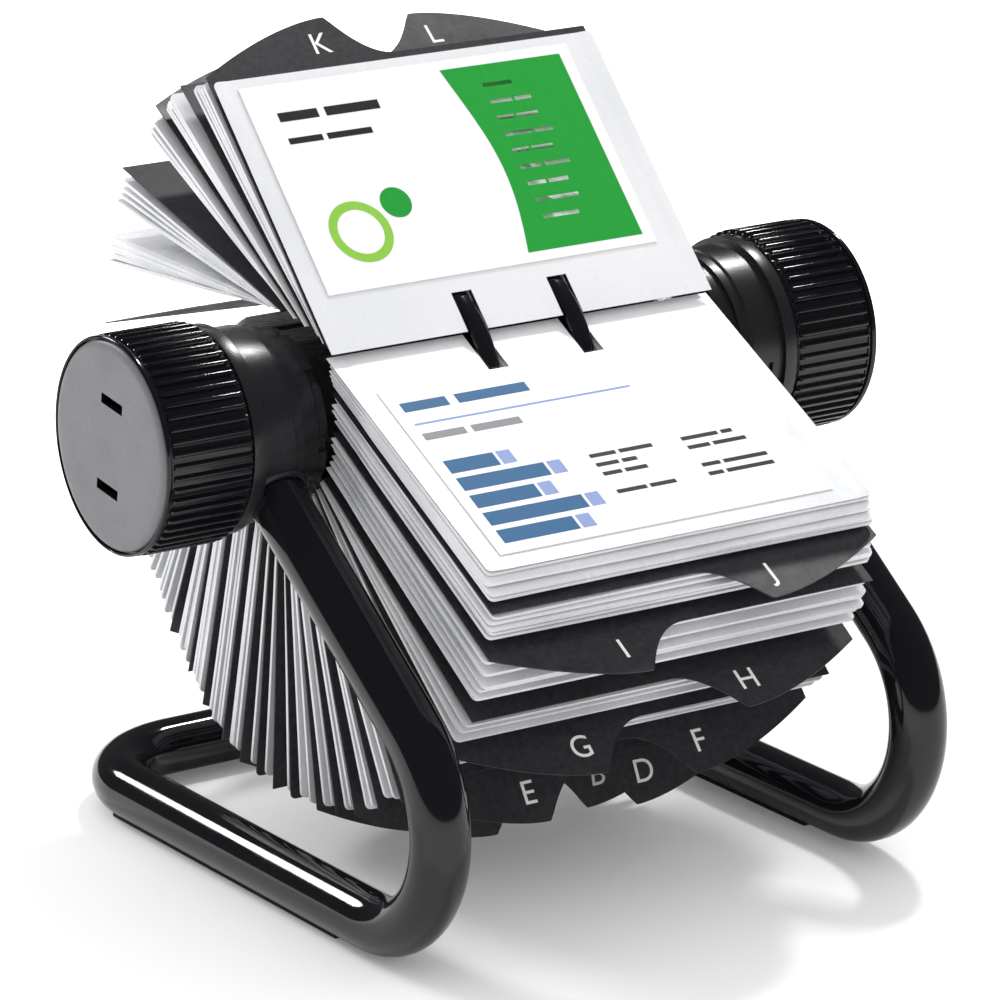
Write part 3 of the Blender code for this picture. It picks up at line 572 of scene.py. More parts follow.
def box_mesh(low, high, matrix):
    mesh = bpy.data.meshes.new("box")
    work = bmesh.new()
    bmesh.ops.create_cube(work, size=1.0)
    bmesh.ops.scale(work, vec=Vector(high) - Vector(low), verts=work.verts)
    bmesh.ops.translate(work, vec=(Vector(high) + Vector(low)) / 2, verts=work.verts)
    bmesh.ops.transform(work, matrix=matrix, verts=work.verts)
    work.to_mesh(mesh)
    work.free()
    return mesh


def cut_boxes(mesh, boxes):
    """Cuts boxes, each given as a mesh, out of a mesh."""
    holder = linked("holder", mesh)
    cutters = []
    for box in boxes:
        cutter = linked("cutter", box)
        modifier = holder.modifiers.new("cut", "BOOLEAN")
        modifier.operation = "DIFFERENCE"
        modifier.solver = "EXACT"
        modifier.object = cutter
        cutters.append(cutter)
    made = final_mesh(holder)
    for cutter in cutters:
        bpy.data.objects.remove(cutter, do_unlink=True)
    return made


def side_matrix(side, turn=0.0):
    """Local Z to the outside of the given side along the axle, local X to the floor."""
    turned = Matrix.Rotation(math.pi / 2 * side, 4, "Y") @ Matrix.Rotation(turn, 4, "Z")
    return Matrix.Translation((0.0, AXLE_Y, AXLE_HEIGHT)) @ turned


def arc(centre, radius, start, end, steps):
    """Points of an arc in a plane, both ends included."""
    angles = np.linspace(start, end, steps + 1)
    return [(centre[0] + radius * math.cos(a), centre[1] + radius * math.sin(a)) for a in angles]


def even_columns(count):
    """Angles round a turned piece, each with no relief."""
    return [(k * math.tau / count, 0.0) for k in range(count)]


def turned(profile, matrix, columns=None, closed=False):
    """Turns (radius, height) or (radius, height, relief) points about the local Z axis.

    The relief is how far a column's own relief lifts the point off the axis.
    """
    columns = columns or even_columns(TURNED_SIDES)
    work = bmesh.new()
    rings = []
    for point in profile:
        radius, height = point[:2]
        relief = point[2] if len(point) > 2 else 0.0
        ring = []
        for angle, lift in columns:
            reach = radius + relief * lift
            place = Vector((reach * math.cos(angle), reach * math.sin(angle), height))
            ring.append(work.verts.new(matrix @ place))
        rings.append(ring)
    pairs = list(zip(rings, rings[1:]))
    if closed:
        pairs.append((rings[-1], rings[0]))
    for ring, after in pairs:
        for k in range(len(columns)):
            j = (k + 1) % len(columns)
            work.faces.new((ring[k], ring[j], after[j], after[k]))
    bmesh.ops.remove_doubles(work, verts=work.verts, dist=WELD_DISTANCE)
    bmesh.ops.recalc_face_normals(work, faces=work.faces)
    mesh = bpy.data.meshes.new("turned")
    work.to_mesh(mesh)
    work.free()
    return mesh


def swept_tube(points, radius, sides):
    """A round bar along points in space, with filled ends."""
    curve = bpy.data.curves.new("path", "CURVE")
    curve.dimensions = "3D"
    curve.bevel_depth = radius
    curve.bevel_resolution = sides // 4 - 1
    curve.use_fill_caps = True
    spline = curve.splines.new("POLY")
    spline.points.add(len(points) - 1)
    for point, place in zip(spline.points, points):
        point.co = (*place, 1.0)
    return final_mesh(linked("path", curve))


def tube_slope():
    """How far the uprights lean from level, so that they leave the bend without a kink."""
    bend_z = TUBE_LIFT + TUBE_RADIUS + FRONT_BEND_RADIUS
    drop = AXLE_HEIGHT - bend_z
    far = math.hypot(drop, FRONT_BEND_SETOUT)
    return math.acos(FRONT_BEND_RADIUS / far) - math.atan2(FRONT_BEND_SETOUT, drop)


def build_stand():
    """The bent tube and the rubber strips under its rails."""
    rail_height = TUBE_LIFT + TUBE_RADIUS
    slope = tube_slope()
    bend = arc(
        (-FRONT_BEND_SETOUT, rail_height + FRONT_BEND_RADIUS),
        FRONT_BEND_RADIUS,
        math.pi / 2 + slope,
        1.5 * math.pi,
        BEND_STEPS,
    )
    corner = arc(
        (-RAIL_OFFSET + REAR_BEND_RADIUS, REAR_BAR_SETBACK - REAR_BEND_RADIUS),
        REAR_BEND_RADIUS,
        math.pi,
        math.pi / 2,
        BEND_STEPS,
    )
    reach = TUBE_END_FROM_AXLE
    top = (-reach * math.cos(slope), AXLE_HEIGHT - reach * math.sin(slope))
    left = [(-RAIL_OFFSET, *top)]
    left += [(-RAIL_OFFSET, y, z) for y, z in bend]
    left += [(x, y, rail_height) for x, y in corner]
    path = [(x, y + AXLE_Y, z) for x, y, z in left]
    path += [(-x, y, z) for x, y, z in reversed(path)]
    mesh = swept_tube(path, TUBE_RADIUS, TUBE_SIDES)
    place_piece("bent_tube", mesh, "lacquer", "stand", ["frame_tube"])
    for word in SIDES:
        low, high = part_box(word + "_foot_strip")
        middle = (low[0] + high[0]) / 2
        low = (middle - FOOT_WIDTH / 2, low[1], low[2])
        high = (middle + FOOT_WIDTH / 2, high[1], high[2])
        mesh = evaluated_mesh(box_mesh(low, high, Matrix()), bevel(FOOT_ROUNDING))
        nodes = [word + "_foot_strip"]
        place_piece(word + "_rubber_strip", mesh, "rubber", "stand", nodes)


def housing_profile():
    """The barrel's (radius, height) outline: flange, barrel with a groove, rim and inner walls."""
    inner = HOUSING_LOW[0]
    outer = HOUSING_HIGH[0]
    inside = HOUSING_BARREL_RADIUS - HOUSING_WALL
    groove_end = HOUSING_RIM_END + HOUSING_GROOVE_WIDTH
    return [
        (HOUSING_FLANGE_RADIUS - HOUSING_WALL, outer),
        (HOUSING_FLANGE_RADIUS, outer),
        (HOUSING_FLANGE_RADIUS, HOUSING_FLANGE_START),
        (HOUSING_BARREL_RADIUS, HOUSING_FLANGE_START),
        (HOUSING_BARREL_RADIUS, groove_end + HOUSING_GROOVE_SLANT),
        (HOUSING_BARREL_RADIUS - HOUSING_GROOVE_DEPTH, groove_end),
        (HOUSING_BARREL_RADIUS - HOUSING_GROOVE_DEPTH, HOUSING_RIM_END),
        (HOUSING_RIM_RADIUS, HOUSING_RIM_END),
        (HOUSING_RIM_RADIUS, inner),
        (BUSH_SEAT_RADIUS, inner),
        (BUSH_SEAT_RADIUS, inner + HOUSING_WALL),
        (inside, inner + HOUSING_WALL),
        (inside, outer - HOUSING_WALL),
    ]


def build_housings():
    """The fixed barrels between the knobs and the drum, and the collars of the tube's ends."""
    pocket_start = HOUSING_RIM_END + HOUSING_POCKET_SETBACK
    pocket_floor = HOUSING_BARREL_RADIUS - HOUSING_POCKET_DEPTH
    low = (pocket_floor, -HOUSING_POCKET_WIDTH / 2, pocket_start)
    high = (
        HOUSING_BARREL_RADIUS + 2 * CUT_OVERRUN,
        HOUSING_POCKET_WIDTH / 2,
        pocket_start + HOUSING_POCKET_LENGTH,
    )
    start = HOUSING_BARREL_RADIUS - COLLAR_SINK
    collar = [
        (TUBE_RADIUS + COLLAR_PLAY, start),
        (COLLAR_RADIUS, start),
        (COLLAR_RADIUS, COLLAR_REACH - COLLAR_CHAMFER),
        (COLLAR_RADIUS - COLLAR_CHAMFER, COLLAR_REACH),
        (TUBE_RADIUS + COLLAR_PLAY, COLLAR_REACH),
    ]
    for word, side in SIDES.items():
        # Local X points down, so the front is at a quarter turn to the left or right of it
        turn = side * (math.pi / 2 + HOUSING_POCKET_TURN) + math.pi
        pocket = box_mesh(low, high, side_matrix(side, turn))
        shell = cut_boxes(turned(housing_profile(), side_matrix(side), closed=True), [pocket])
        mesh = evaluated_mesh(shell, bevel(HOUSING_ROUNDING, 3))
        nodes = [word + "_housing"]
        place_piece(word + "_hub_shell", mesh, "satin", "stand", nodes)
        hub = Matrix.Translation((side * RAIL_OFFSET, AXLE_Y, AXLE_HEIGHT))
        outwards = hub @ Matrix.Rotation(math.pi / 2 + tube_slope(), 4, "X")
        mesh = turned(collar, outwards, even_columns(COLLAR_SIDES), closed=True)
        place_piece(word + "_tube_collar", mesh, "satin", "stand")


def rib_columns():
    """Angles round a knob with the relief of its ribs: rounded crests and rounded valleys."""
    shape = (
        (0.00, 0.70), (0.03, 0.90), (0.08, 0.98), (0.17, 1.0), (0.26, 0.98), (0.31, 0.90),
        (0.34, 0.70), (0.38, 0.22), (0.44, 0.04), (0.67, 0.0), (0.90, 0.04), (0.96, 0.22),
    )
    pitch = math.tau / KNOB_RIBS
    return [((rib + share) * pitch, relief) for rib in range(KNOB_RIBS) for share, relief in shape]


def rib_run(start, inwards):
    """Profile points where the ribs rise from one end, a quarter round over the run."""
    points = []
    for k in range(KNOB_RIB_STEPS + 1):
        turn = math.pi / 2 * k / KNOB_RIB_STEPS
        height = start + inwards * (1.0 - math.cos(turn)) * KNOB_RIB_RUN
        relief = (KNOB_RIB_RADIUS - KNOB_ROOT_RADIUS) * math.sin(turn)
        points.append((KNOB_ROOT_RADIUS, height, relief))
    return points


def knob_profile():
    """From the pocket's middle over the seat, the rim and the ribs to the hollow inside."""
    inner = KNOB_LOW[0]
    outer = KNOB_HIGH[0]
    seat = outer - CAP_SEAT_DEPTH
    rib_end = outer - KNOB_RIM_WIDTH
    pocket_floor = seat - KNOB_POCKET_DEPTH
    hollow_radius = KNOB_ROOT_RADIUS - KNOB_WALL
    rim_corner = (outer - KNOB_RIM_ROUNDING, KNOB_RIM_RADIUS - KNOB_RIM_ROUNDING)
    rim = arc(rim_corner, KNOB_RIM_ROUNDING, 0.0, math.pi / 2, 6)
    return [
        (0.0, pocket_floor),
        (KNOB_POCKET_RADIUS, pocket_floor),
        (KNOB_POCKET_RADIUS, seat),
        (CAP_RADIUS + CAP_PLAY, seat),
        (CAP_RADIUS + CAP_PLAY, outer - CAP_PLAY),
        (CAP_RADIUS + CAP_PLAY + CAP_LIP_CHAMFER, outer),
        *((radius, height) for height, radius in rim),
        (KNOB_RIM_RADIUS, rib_end + KNOB_RIM_START),
        (KNOB_RIM_RADIUS - KNOB_RIM_CHAMFER, rib_end + KNOB_GROOVE_TOP),
        (KNOB_ROOT_RADIUS, rib_end + KNOB_GROOVE_FOOT),
        *rib_run(rib_end, -1),
        *reversed(rib_run(inner + KNOB_RIB_SETBACK, 1)),
        (KNOB_ROOT_RADIUS, inner + KNOB_INNER_CHAMFER),
        (KNOB_ROOT_RADIUS - KNOB_INNER_CHAMFER, inner),
        (hollow_radius, inner),
        (hollow_radius, outer - KNOB_HOLLOW_END),
        (0.0, outer - KNOB_HOLLOW_END),
    ]


def cap_profile(base, top):
    """A very slight dish, a soft edge and a flat underside."""
    middle = top - CAP_DISH_DEPTH
    profile = [(0.0, middle)]
    for share in CAP_DISH_SHARES:
        profile.append((CAP_RADIUS * share, middle + CAP_DISH_RISE * share**3))
    start = CAP_RADIUS - CAP_EDGE_WIDTH
    centre = (top - CAP_EDGE_DROP, start)
    for height, radius in arc(centre, CAP_EDGE_DROP, 0.0, math.pi / 2, CAP_EDGE_STEPS):
        profile.append((start + (radius - start) * CAP_EDGE_STRETCH, height))
    return profile + [(CAP_RADIUS, base), (0.0, base)]


def build_cap(word, side, outer):
    """The grey cap with two straight slots. Their walls below the top take the black gloss finish
    as painted shade.
    """
    base = outer - CAP_SEAT_DEPTH + CAP_PLAY
    top = outer + CAP_RISE
    place = side_matrix(side, side * CAP_TURN)
    slots = []
    for end in (-1, 1):
        middle = end * CAP_SLOT_OFFSET
        low = (middle - CAP_SLOT_WIDTH / 2, -CAP_SLOT_LENGTH / 2, base - CUT_OVERRUN)
        high = (middle + CAP_SLOT_WIDTH / 2, CAP_SLOT_LENGTH / 2, top + CUT_OVERRUN)
        slots.append(box_mesh(low, high, place))
    mesh = cut_boxes(turned(cap_profile(base, top), place), slots)
    cap = place_piece(word + "_cap_disc", mesh, "cap", "wheel", [word + "_knob_cap"])
    # Painted shade: the slot walls, from just under the top down, get the black gloss finish in
    # place of the cap's grey
    cap.data.materials.append(FINISHES["gloss"].material)
    back = place.inverted()
    for face in cap.data.polygons:
        spot = back @ face.center
        across = abs(abs(spot.x) - CAP_SLOT_OFFSET) <= CAP_SLOT_WIDTH / 2 + FACE_PLAY
        along = abs(spot.y) <= CAP_SLOT_LENGTH / 2 + FACE_PLAY
        if across and along and spot.z < top - CAP_SLOT_SHADE_DEPTH:
            face.material_index = 1


def build_knobs():
    """Ribbed knobs with a smooth rim, and their caps."""
    for word, side in SIDES.items():
        mesh = turned(knob_profile(), side_matrix(side), rib_columns())
        place_piece(word + "_ribbed_knob", mesh, "gloss", "wheel", [word + "_knob"])
        build_cap(word, side, KNOB_HIGH[0])


def disc_columns():
    """Angles round a side disc: lands with no relief and notches with a relief of -1."""
    shares = [(share, 0.0) for share in np.linspace(*SIDE_DISC_LAND_SHARES, 14)]
    shares += [(share, -1.0) for share in np.linspace(*SIDE_DISC_NOTCH_SHARES, 5)]
    pitch = math.tau / SIDE_DISC_NOTCHES
    starts = [notch * pitch for notch in range(SIDE_DISC_NOTCHES)]
    return [(start + share * pitch, relief) for start in starts for share, relief in shares]


def disc_profile():
    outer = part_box("right_side_disc")[1][0]
    inner = outer - SIDE_DISC_THICKNESS
    notch = SIDE_DISC_NOTCH_DEPTH
    return [
        (SIDE_DISC_BORE_RADIUS, outer),
        (SIDE_DISC_RADIUS - SIDE_DISC_NOTCH_FOOT, outer),
        (SIDE_DISC_RADIUS - SIDE_DISC_CHAMFER, outer, notch),
        (SIDE_DISC_RADIUS, outer - SIDE_DISC_CHAMFER, notch),
        (SIDE_DISC_RADIUS, inner + SIDE_DISC_CHAMFER, notch),
        (SIDE_DISC_RADIUS - SIDE_DISC_CHAMFER, inner, notch),
        (SIDE_DISC_BORE_RADIUS, inner),
    ]


def hoop_profile():
    """A T-section: a head with a crowned top on a web."""
    half_web = HOOP_WEB_THICKNESS / 2
    half_head = HOOP_HEAD_WIDTH / 2
    under = HOOP_RADIUS - HOOP_HEAD_THICKNESS
    outer_half = [
        (DRUM_RADIUS, half_web),
        (under - HOOP_FILLET, half_web),
        (under, half_web + HOOP_FILLET),
        (under, half_head - HOOP_CORNER),
        (under + HOOP_CORNER, half_head),
        *((HOOP_RADIUS - drop, half_head - inset) for drop, inset in HOOP_CROWN),
    ]
    return outer_half + [(radius, -height) for radius, height in reversed(outer_half)]


def build_drum():
    """Side discs with notches round their edge, hoops, and the finishes of the inner pieces."""
    for word, side in SIDES.items():
        mesh = turned(disc_profile(), side_matrix(side), disc_columns(), closed=True)
        nodes = [word + "_side_disc"]
        place_piece(word + "_drum_disc", mesh, "satin", "wheel", nodes)
        place = side_matrix(1) @ Matrix.Translation((0.0, 0.0, side * HOOP_OFFSET))
        mesh = turned(hoop_profile(), place, even_columns(HOOP_SIDES), closed=True)
        place_piece(word + "_card_hoop", mesh, "gloss", "wheel", [word + "_hoop"])
    for node, finish in (
        ("axle", "steel"),
        ("drum_core", "satin"),
        ("left_bush", "bearing"),
        ("right_bush", "bearing"),
    ):
        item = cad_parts[node]
        item.data.materials.clear()
        item.data.materials.append(FINISHES[finish].material)


def ride(angle):
    """Hook point and direction of a leaf, as (y, z) pairs about the axle."""
    lean = float(np.interp(angle, RIDE_ANGLES, RIDE_LEANS))
    slack = HANGING_SLACK * float(np.interp(angle, RIDE_ANGLES, RIDE_SLACK_SHARES))
    hook = math.radians(angle)
    heading = math.radians(angle + lean)
    reach = HOOP_RADIUS + slack
    return (
        (-math.cos(hook) * reach, math.sin(hook) * reach),
        (-math.cos(heading), math.sin(heading)),
    )


def leaf_point(angle, x, along, offset):
    """A point in space: across the leaf, so far along it and so far off it."""
    hook, heading = ride(angle)
    run = along - NOTCH_DEPTH
    return Vector(
        (
            x,
            AXLE_Y + hook[0] + heading[0] * run - heading[1] * offset,
            AXLE_HEIGHT + hook[1] + heading[1] * run + heading[0] * offset,
        )
    )


def leaf_matrix(angle):
    """Local X along the axle, local Y along the leaf from its binding edge."""
    heading = ride(angle)[1]
    along = Vector((0.0, heading[0], heading[1]))
    across = Vector((1.0, 0.0, 0.0))
    rotation = Matrix((across, along, across.cross(along))).transposed().to_4x4()
    return Matrix.Translation(leaf_point(angle, 0.0, 0.0, 0.0)) @ rotation


def leaf_columns(step):
    """Places across a leaf: notch edges, corner roundings and even steps between them."""
    half = LEAF_WIDTH / 2
    places = set()
    for side in (-1, 1):
        for edge in (-1, 1):
            places.add(round(side * HOOP_OFFSET + edge * NOTCH_WIDTH / 2, 6))
        for share in LEAF_CORNER_SHARES:
            places.add(round(side * (half - LEAF_CORNER_RADIUS * share), 6))
    even = np.arange(-half + LEAF_EVEN_START, half - LEAF_EVEN_END, step)
    for place in even:
        if min(abs(place - other) for other in places) > step / 3:
            places.add(round(float(place), 6))
    return sorted(places)


def in_notch(x):
    return abs(abs(x) - HOOP_OFFSET) < NOTCH_WIDTH / 2 - NOTCH_TRIM


def rounded_end(x):
    """Where a sleeve ends at a place across it, with its rounded corners."""
    over = abs(x) - (LEAF_WIDTH / 2 - LEAF_CORNER_RADIUS)
    if over <= 0.0:
        return LEAF_LENGTH
    drop = LEAF_CORNER_RADIUS - math.sqrt(max(LEAF_CORNER_RADIUS**2 - over**2, 0.0))
    return LEAF_LENGTH - drop


def tab_end(x, peak_side):
    """Where a divider ends at a place across it, with its swept tab."""
    run = LEAF_WIDTH / 2 + x * -peak_side
    if run <= TAB_PEAK:
        height = TAB_HEIGHT * (1.0 - (1.0 - run / TAB_PEAK) ** TAB_RISE_POWER)
    else:
        share = min(max(run - TAB_PEAK - TAB_FLAT, 0.0) / TAB_FALL, 1.0)
        height = TAB_HEIGHT * (1.0 - share) ** 2
    return LEAF_LENGTH + height


def leaf_sheet(place, end, columns, rows, notch=NOTCH_DEPTH):
    """A sheet with notches at its binding edge. place(x, along) gives a point in space.

    The weights of its points are 0 beside the notches and 1 from the next row on.
    """
    work = bmesh.new()
    weights = work.verts.layers.deform.verify()
    shares = np.linspace(0.0, 1.0, rows + 1)
    grid = []
    for x in columns:
        last = end(x)
        alongs = [0.0] + [notch + (last - notch) * share for share in shares]
        column = [work.verts.new(place(x, along)) for along in alongs]
        for vert in column[2:]:
            vert[weights][0] = 1.0
        grid.append(column)
    for k in range(len(columns) - 1):
        middle = (columns[k] + columns[k + 1]) / 2
        for row in range(rows + 1):
            if row == 0 and in_notch(middle):
                continue
            corners = (grid[k][row], grid[k + 1][row], grid[k + 1][row + 1], grid[k][row + 1])
            work.faces.new(corners)
    loose = [vert for vert in work.verts if not vert.link_faces]
    bmesh.ops.delete(work, geom=loose, context="VERTS")
    mesh = bpy.data.meshes.new("sheet")
    work.to_mesh(mesh)
    work.free()
    return mesh


def joined(meshes):
    """One mesh that holds them all."""
    work = bmesh.new()
    for mesh in meshes:
        work.from_mesh(mesh)
    made = bpy.data.meshes.new("joined")
    work.to_mesh(made)
    work.free()
    return made


def letter_mesh(text, size):
    """Lettering centred on the local origin, in the XY plane."""
    curve = bpy.data.curves.new("letters", "FONT")
    curve.body = text
    curve.size = size
    curve.align_x = "CENTER"
    curve.align_y = "CENTER"
    curve.extrude = PRINT_THICKNESS
    curve.resolution_u = 6
    return final_mesh(linked("letters", curve))


def dark_leaf(angle, end, step):
    """A flat dark leaf at its hook angle. end(x) is where it ends at a place across it."""

    def place(x, along):
        return leaf_point(angle, x, along, 0.0)

    sheet = leaf_sheet(place, end, leaf_columns(step), 3)
    return evaluated_mesh(sheet, solidify(DIVIDER_THICKNESS))


def build_dividers():
    """Index dividers with swept tabs, lettered on both faces."""
    for letters, angle, peak_side in DIVIDERS:

        def end(x, peak_side=peak_side):
            return tab_end(x, peak_side)

        mesh = dark_leaf(angle, end, DIVIDER_STEP)
        nodes = ["index_divider_" + letters]
        place_piece("divider_" + letters, mesh, "divider", "wheel", nodes)
        peak = peak_side * (LEAF_WIDTH / 2 - TAB_PEAK - LETTER_SIDE_SHIFT)
        size = LETTER_SIZE if len(letters) < 3 else LETTER_SIZE * LONG_LETTERS_SHARE
        lift = DIVIDER_THICKNESS / 2 + PRINT_THICKNESS
        faces = []
        for face in (1, -1):
            mesh = letter_mesh(letters, size)
            turn = Matrix.Diagonal((1.0, face, face, 1.0))
            spot = Matrix.Translation((peak, LETTER_ALONG, face * lift))
            mesh.transform(leaf_matrix(angle) @ spot @ turn)
            faces.append(mesh)
        place_piece("letters_" + letters, joined(faces), "ink_white", "wheel")


def build_blank_leaves():
    """Plain dark leaves between the dividers."""
    for count, angle in enumerate(BLANK_LEAVES, 1):
        mesh = dark_leaf(angle, rounded_end, SLEEVE_STEP)
        place_piece(f"blank_leaf_{count}", mesh, "divider", "wheel")


def stack_sheet(first, second, low, high, pitch, base):
    """One sleeve between two leaves, with its own slight wave.

    first and second are the leaves' hook angles, low and high the shares of the room between
    them that stay free, base the sleeve's own share of the rest, and pitch that of one sleeve.
    """
    drift, wave, twist = (RANDOM.uniform(-1.0, 1.0) for _ in range(3))
    shift = RANDOM.uniform(-STACK_SIDE_PLAY, STACK_SIDE_PLAY)
    trim = RANDOM.uniform(STACK_TRIM_LEAST, STACK_TRIM_MOST)

    def place(x, along):
        far = max(along - NOTCH_DEPTH, 0.0) / (LEAF_LENGTH - NOTCH_DEPTH)
        across = x / (LEAF_WIDTH / 2)
        play = drift * far + wave * far**2 * math.cos(across * math.pi / 2)
        play += STACK_TWIST_SHARE * twist * far * across
        share = low + (1.0 - low - high) * (base + STACK_WAVE_SHARE * play * pitch)
        return leaf_point(first + (second - first) * share, x + shift, along, 0.0)

    def end(x):
        return rounded_end(x) - trim

    sheet = leaf_sheet(place, end, leaf_columns(SLEEVE_STEP), 8)
    thick = filled_solidify(STACK_SLEEVE_THICKNESS, STACK_ROOT_THICKNESS_SHARE)
    return evaluated_mesh(sheet, thick)


def build_stacks():
    """The loose sleeves between the dividers."""
    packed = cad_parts
    angles = [angle for _, angle, _ in DIVIDERS] + [OPEN_SLEEVE_ANGLES["lower"]]
    for index, (letters, first, _) in enumerate(DIVIDERS):
        second = angles[index + 1]
        root = leaf_point(second, 0.0, NOTCH_DEPTH, 0.0) - leaf_point(first, 0.0, NOTCH_DEPTH, 0.0)
        low = high = STACK_CLEARANCE / root.length
        if second == OPEN_SLEEVE_ANGLES["lower"]:
            high += SLEEVE_THICKNESS / root.length
        sheets = []
        for start, end, count in STACKS[letters]:
            pitch = (end - start) / count
            for k in range(count):
                base = start + pitch * (k + 0.5)
                sheets.append(stack_sheet(first, second, low, high, pitch, base))
        node = "sleeve_block_" + letters
        nodes = [node] if node in packed else []
        place_piece("sleeves_" + letters, joined(sheets), "stack", "wheel", nodes)


def build_open_sleeve(word):
    """An open sleeve: a frosted back film, a clear front film and the card between them."""
    angle = OPEN_SLEEVE_ANGLES[word]
    body = word + "_leaf"
    half = LEAF_WIDTH / 2
    reader = 1 if word == "upper" else -1
    columns = set(leaf_columns(OPEN_SLEEVE_STEP))
    for share in SEAM_STEP_SHARES:
        columns.update(round(side * (half - SEAM_WIDTH * share), 6) for side in (-1, 1))
    columns = sorted(columns)
    margin = CARD_MARGINS[word]
    full = SLEEVE_THICKNESS / 2 - FILM_THICKNESS / 2

    def pocket(x, along):
        """How far the films stand apart: none at the seams, all of it over the card."""
        side = min(max((half - abs(x) - SEAM_WIDTH) / SEAM_WIDTH, 0.0), 1.0)
        foot = min(max((along - margin + SEAM_WIDTH * 2) / (2 * SEAM_WIDTH), 0.0), 1.0)
        share = side * foot
        return share * share * (3.0 - 2.0 * share)

    for name, face, finish in (("back", -1, "frosted"), ("front", 1, "clear")):

        def place(x, along, face=face):
            spread = FILM_THICKNESS / 2 + (full - FILM_THICKNESS / 2) * pocket(x, along)
            return leaf_point(angle, x, along, face * reader * spread)

        sheet = leaf_sheet(place, rounded_end, columns, 24, OPEN_NOTCH_DEPTHS[word])
        mesh = evaluated_mesh(sheet, solidify(FILM_THICKNESS * FILM_FILL_SHARE))
        nodes = [word + "_sleeve"] if face < 0 else []
        place_piece(f"{word}_film_{name}", mesh, finish, body, nodes)
    place = leaf_matrix(angle)
    low = (CARD_SIDE_SHIFT - CARD_WIDTH / 2, margin, -CARD_THICKNESS / 2)
    high = (CARD_SIDE_SHIFT + CARD_WIDTH / 2, margin + CARD_LENGTH, CARD_THICKNESS / 2)
    mesh = evaluated_mesh(box_mesh(low, high, place), bevel(CARD_ROUNDING, 1))
    place_piece(word + "_card", mesh, "card", body, [word + "_name_card"])


def card_matrix(word):
    """Local X and Y along the card's print from its lower left corner, in reading direction."""
    angle = OPEN_SLEEVE_ANGLES[word]
    left = CARD_SIDE_SHIFT - CARD_WIDTH / 2
    lift = CARD_THICKNESS / 2 + PRINT_THICKNESS
    if word == "upper":
        start = Matrix.Translation((left, CARD_MARGINS[word], lift))
        return leaf_matrix(angle) @ start
    start = Matrix.Translation((left, CARD_MARGINS[word] + CARD_LENGTH, -lift))
    return leaf_matrix(angle) @ start @ Matrix.Diagonal((1.0, -1.0, -1.0, 1.0))


def print_shape(name, word, outlines, ink):
    """Flat printed shapes on a card. Each outline is a ring of (x, y) points in metres."""
    curve = bpy.data.curves.new(name, "CURVE")
    curve.dimensions = "2D"
    curve.fill_mode = "BOTH"
    curve.extrude = PRINT_THICKNESS / 2
    for outline in outlines:
        spline = curve.splines.new("POLY")
        spline.points.add(len(outline) - 1)
        spline.use_cyclic_u = True
        for point, (x, y) in zip(spline.points, outline):
            point.co = (x, y, 0.0, 1.0)
    mesh = final_mesh(linked(name, curve))
    mesh.transform(card_matrix(word))
    place_piece(name, mesh, "ink_" + ink, word + "_leaf")


def bar(x, y, width, height):
    return [(x, y), (x + width, y), (x + width, y + height), (x, y + height)]


def disc(centre, radius):
    return arc(centre, radius, 0.0, math.tau * (1.0 - 1.0 / DISC_POINTS), DISC_POINTS - 1)


def text_lines(x, y, height, pitch, rows):
    """Placeholder text: rows of word-long bars, from the top row down."""
    shapes = []
    for row, words in enumerate(rows):
        run = x
        for width in words:
            shapes.append(bar(run, y - row * pitch, width, height))
            run += width + height * WORD_GAP_SHARE
    return shapes


def build_prints():
    """Generic card prints: plain colour fields, simple motifs and bars in place of text."""
    side, foot = FIELD_MARGINS
    field = []
    for k in range(FIELD_STEPS + 1):
        share = k / FIELD_STEPS
        edge = FIELD_EDGE + FIELD_WAVE * math.sin(share * FIELD_WAVE_TURN)
        field.append((edge, foot + FIELD_HEIGHT * share))
    field += [(CARD_WIDTH - side, foot + FIELD_HEIGHT), (CARD_WIDTH - side, foot)]
    print_shape("upper_print_field", "upper", [field], "green")
    rings = [disc(RING_CENTRE, radius) for radius in RING_RADII]
    print_shape("upper_print_ring", "upper", rings, "pale_green")
    print_shape("upper_print_dot", "upper", [disc(DOT_CENTRE, DOT_RADIUS)], "green")
    lines = text_lines(*UPPER_NAME) + text_lines(*UPPER_TITLE)
    print_shape("upper_print_words", "upper", lines, "black")
    print_shape("upper_print_small_words", "upper", text_lines(*UPPER_ADDRESS), "white")

    bars = []
    ends = []
    for k, reach in enumerate(CHART_REACHES):
        low = CHART_CORNER + k * CHART_PITCH
        bars.append(bar(CHART_CORNER, low, reach, CHART_BAR_HEIGHT))
        start = CHART_CORNER + reach + CHART_GAP
        ends.append(bar(start, low, CHART_END_WIDTH, CHART_BAR_HEIGHT))
    print_shape("lower_print_bars", "lower", bars, "blue")
    print_shape("lower_print_bar_ends", "lower", ends, "pale_blue")
    print_shape("lower_print_name", "lower", text_lines(*LOWER_NAME), "blue")
    print_shape("lower_print_rule", "lower", [bar(*RULE_PLACE, *RULE_SIZE)], "pale_blue")
    print_shape("lower_print_title", "lower", text_lines(*LOWER_TITLE), "grey")
    lines = text_lines(*LOWER_LEFT_WORDS) + text_lines(*LOWER_RIGHT_WORDS)
    print_shape("lower_print_small_words", "lower", lines, "black")


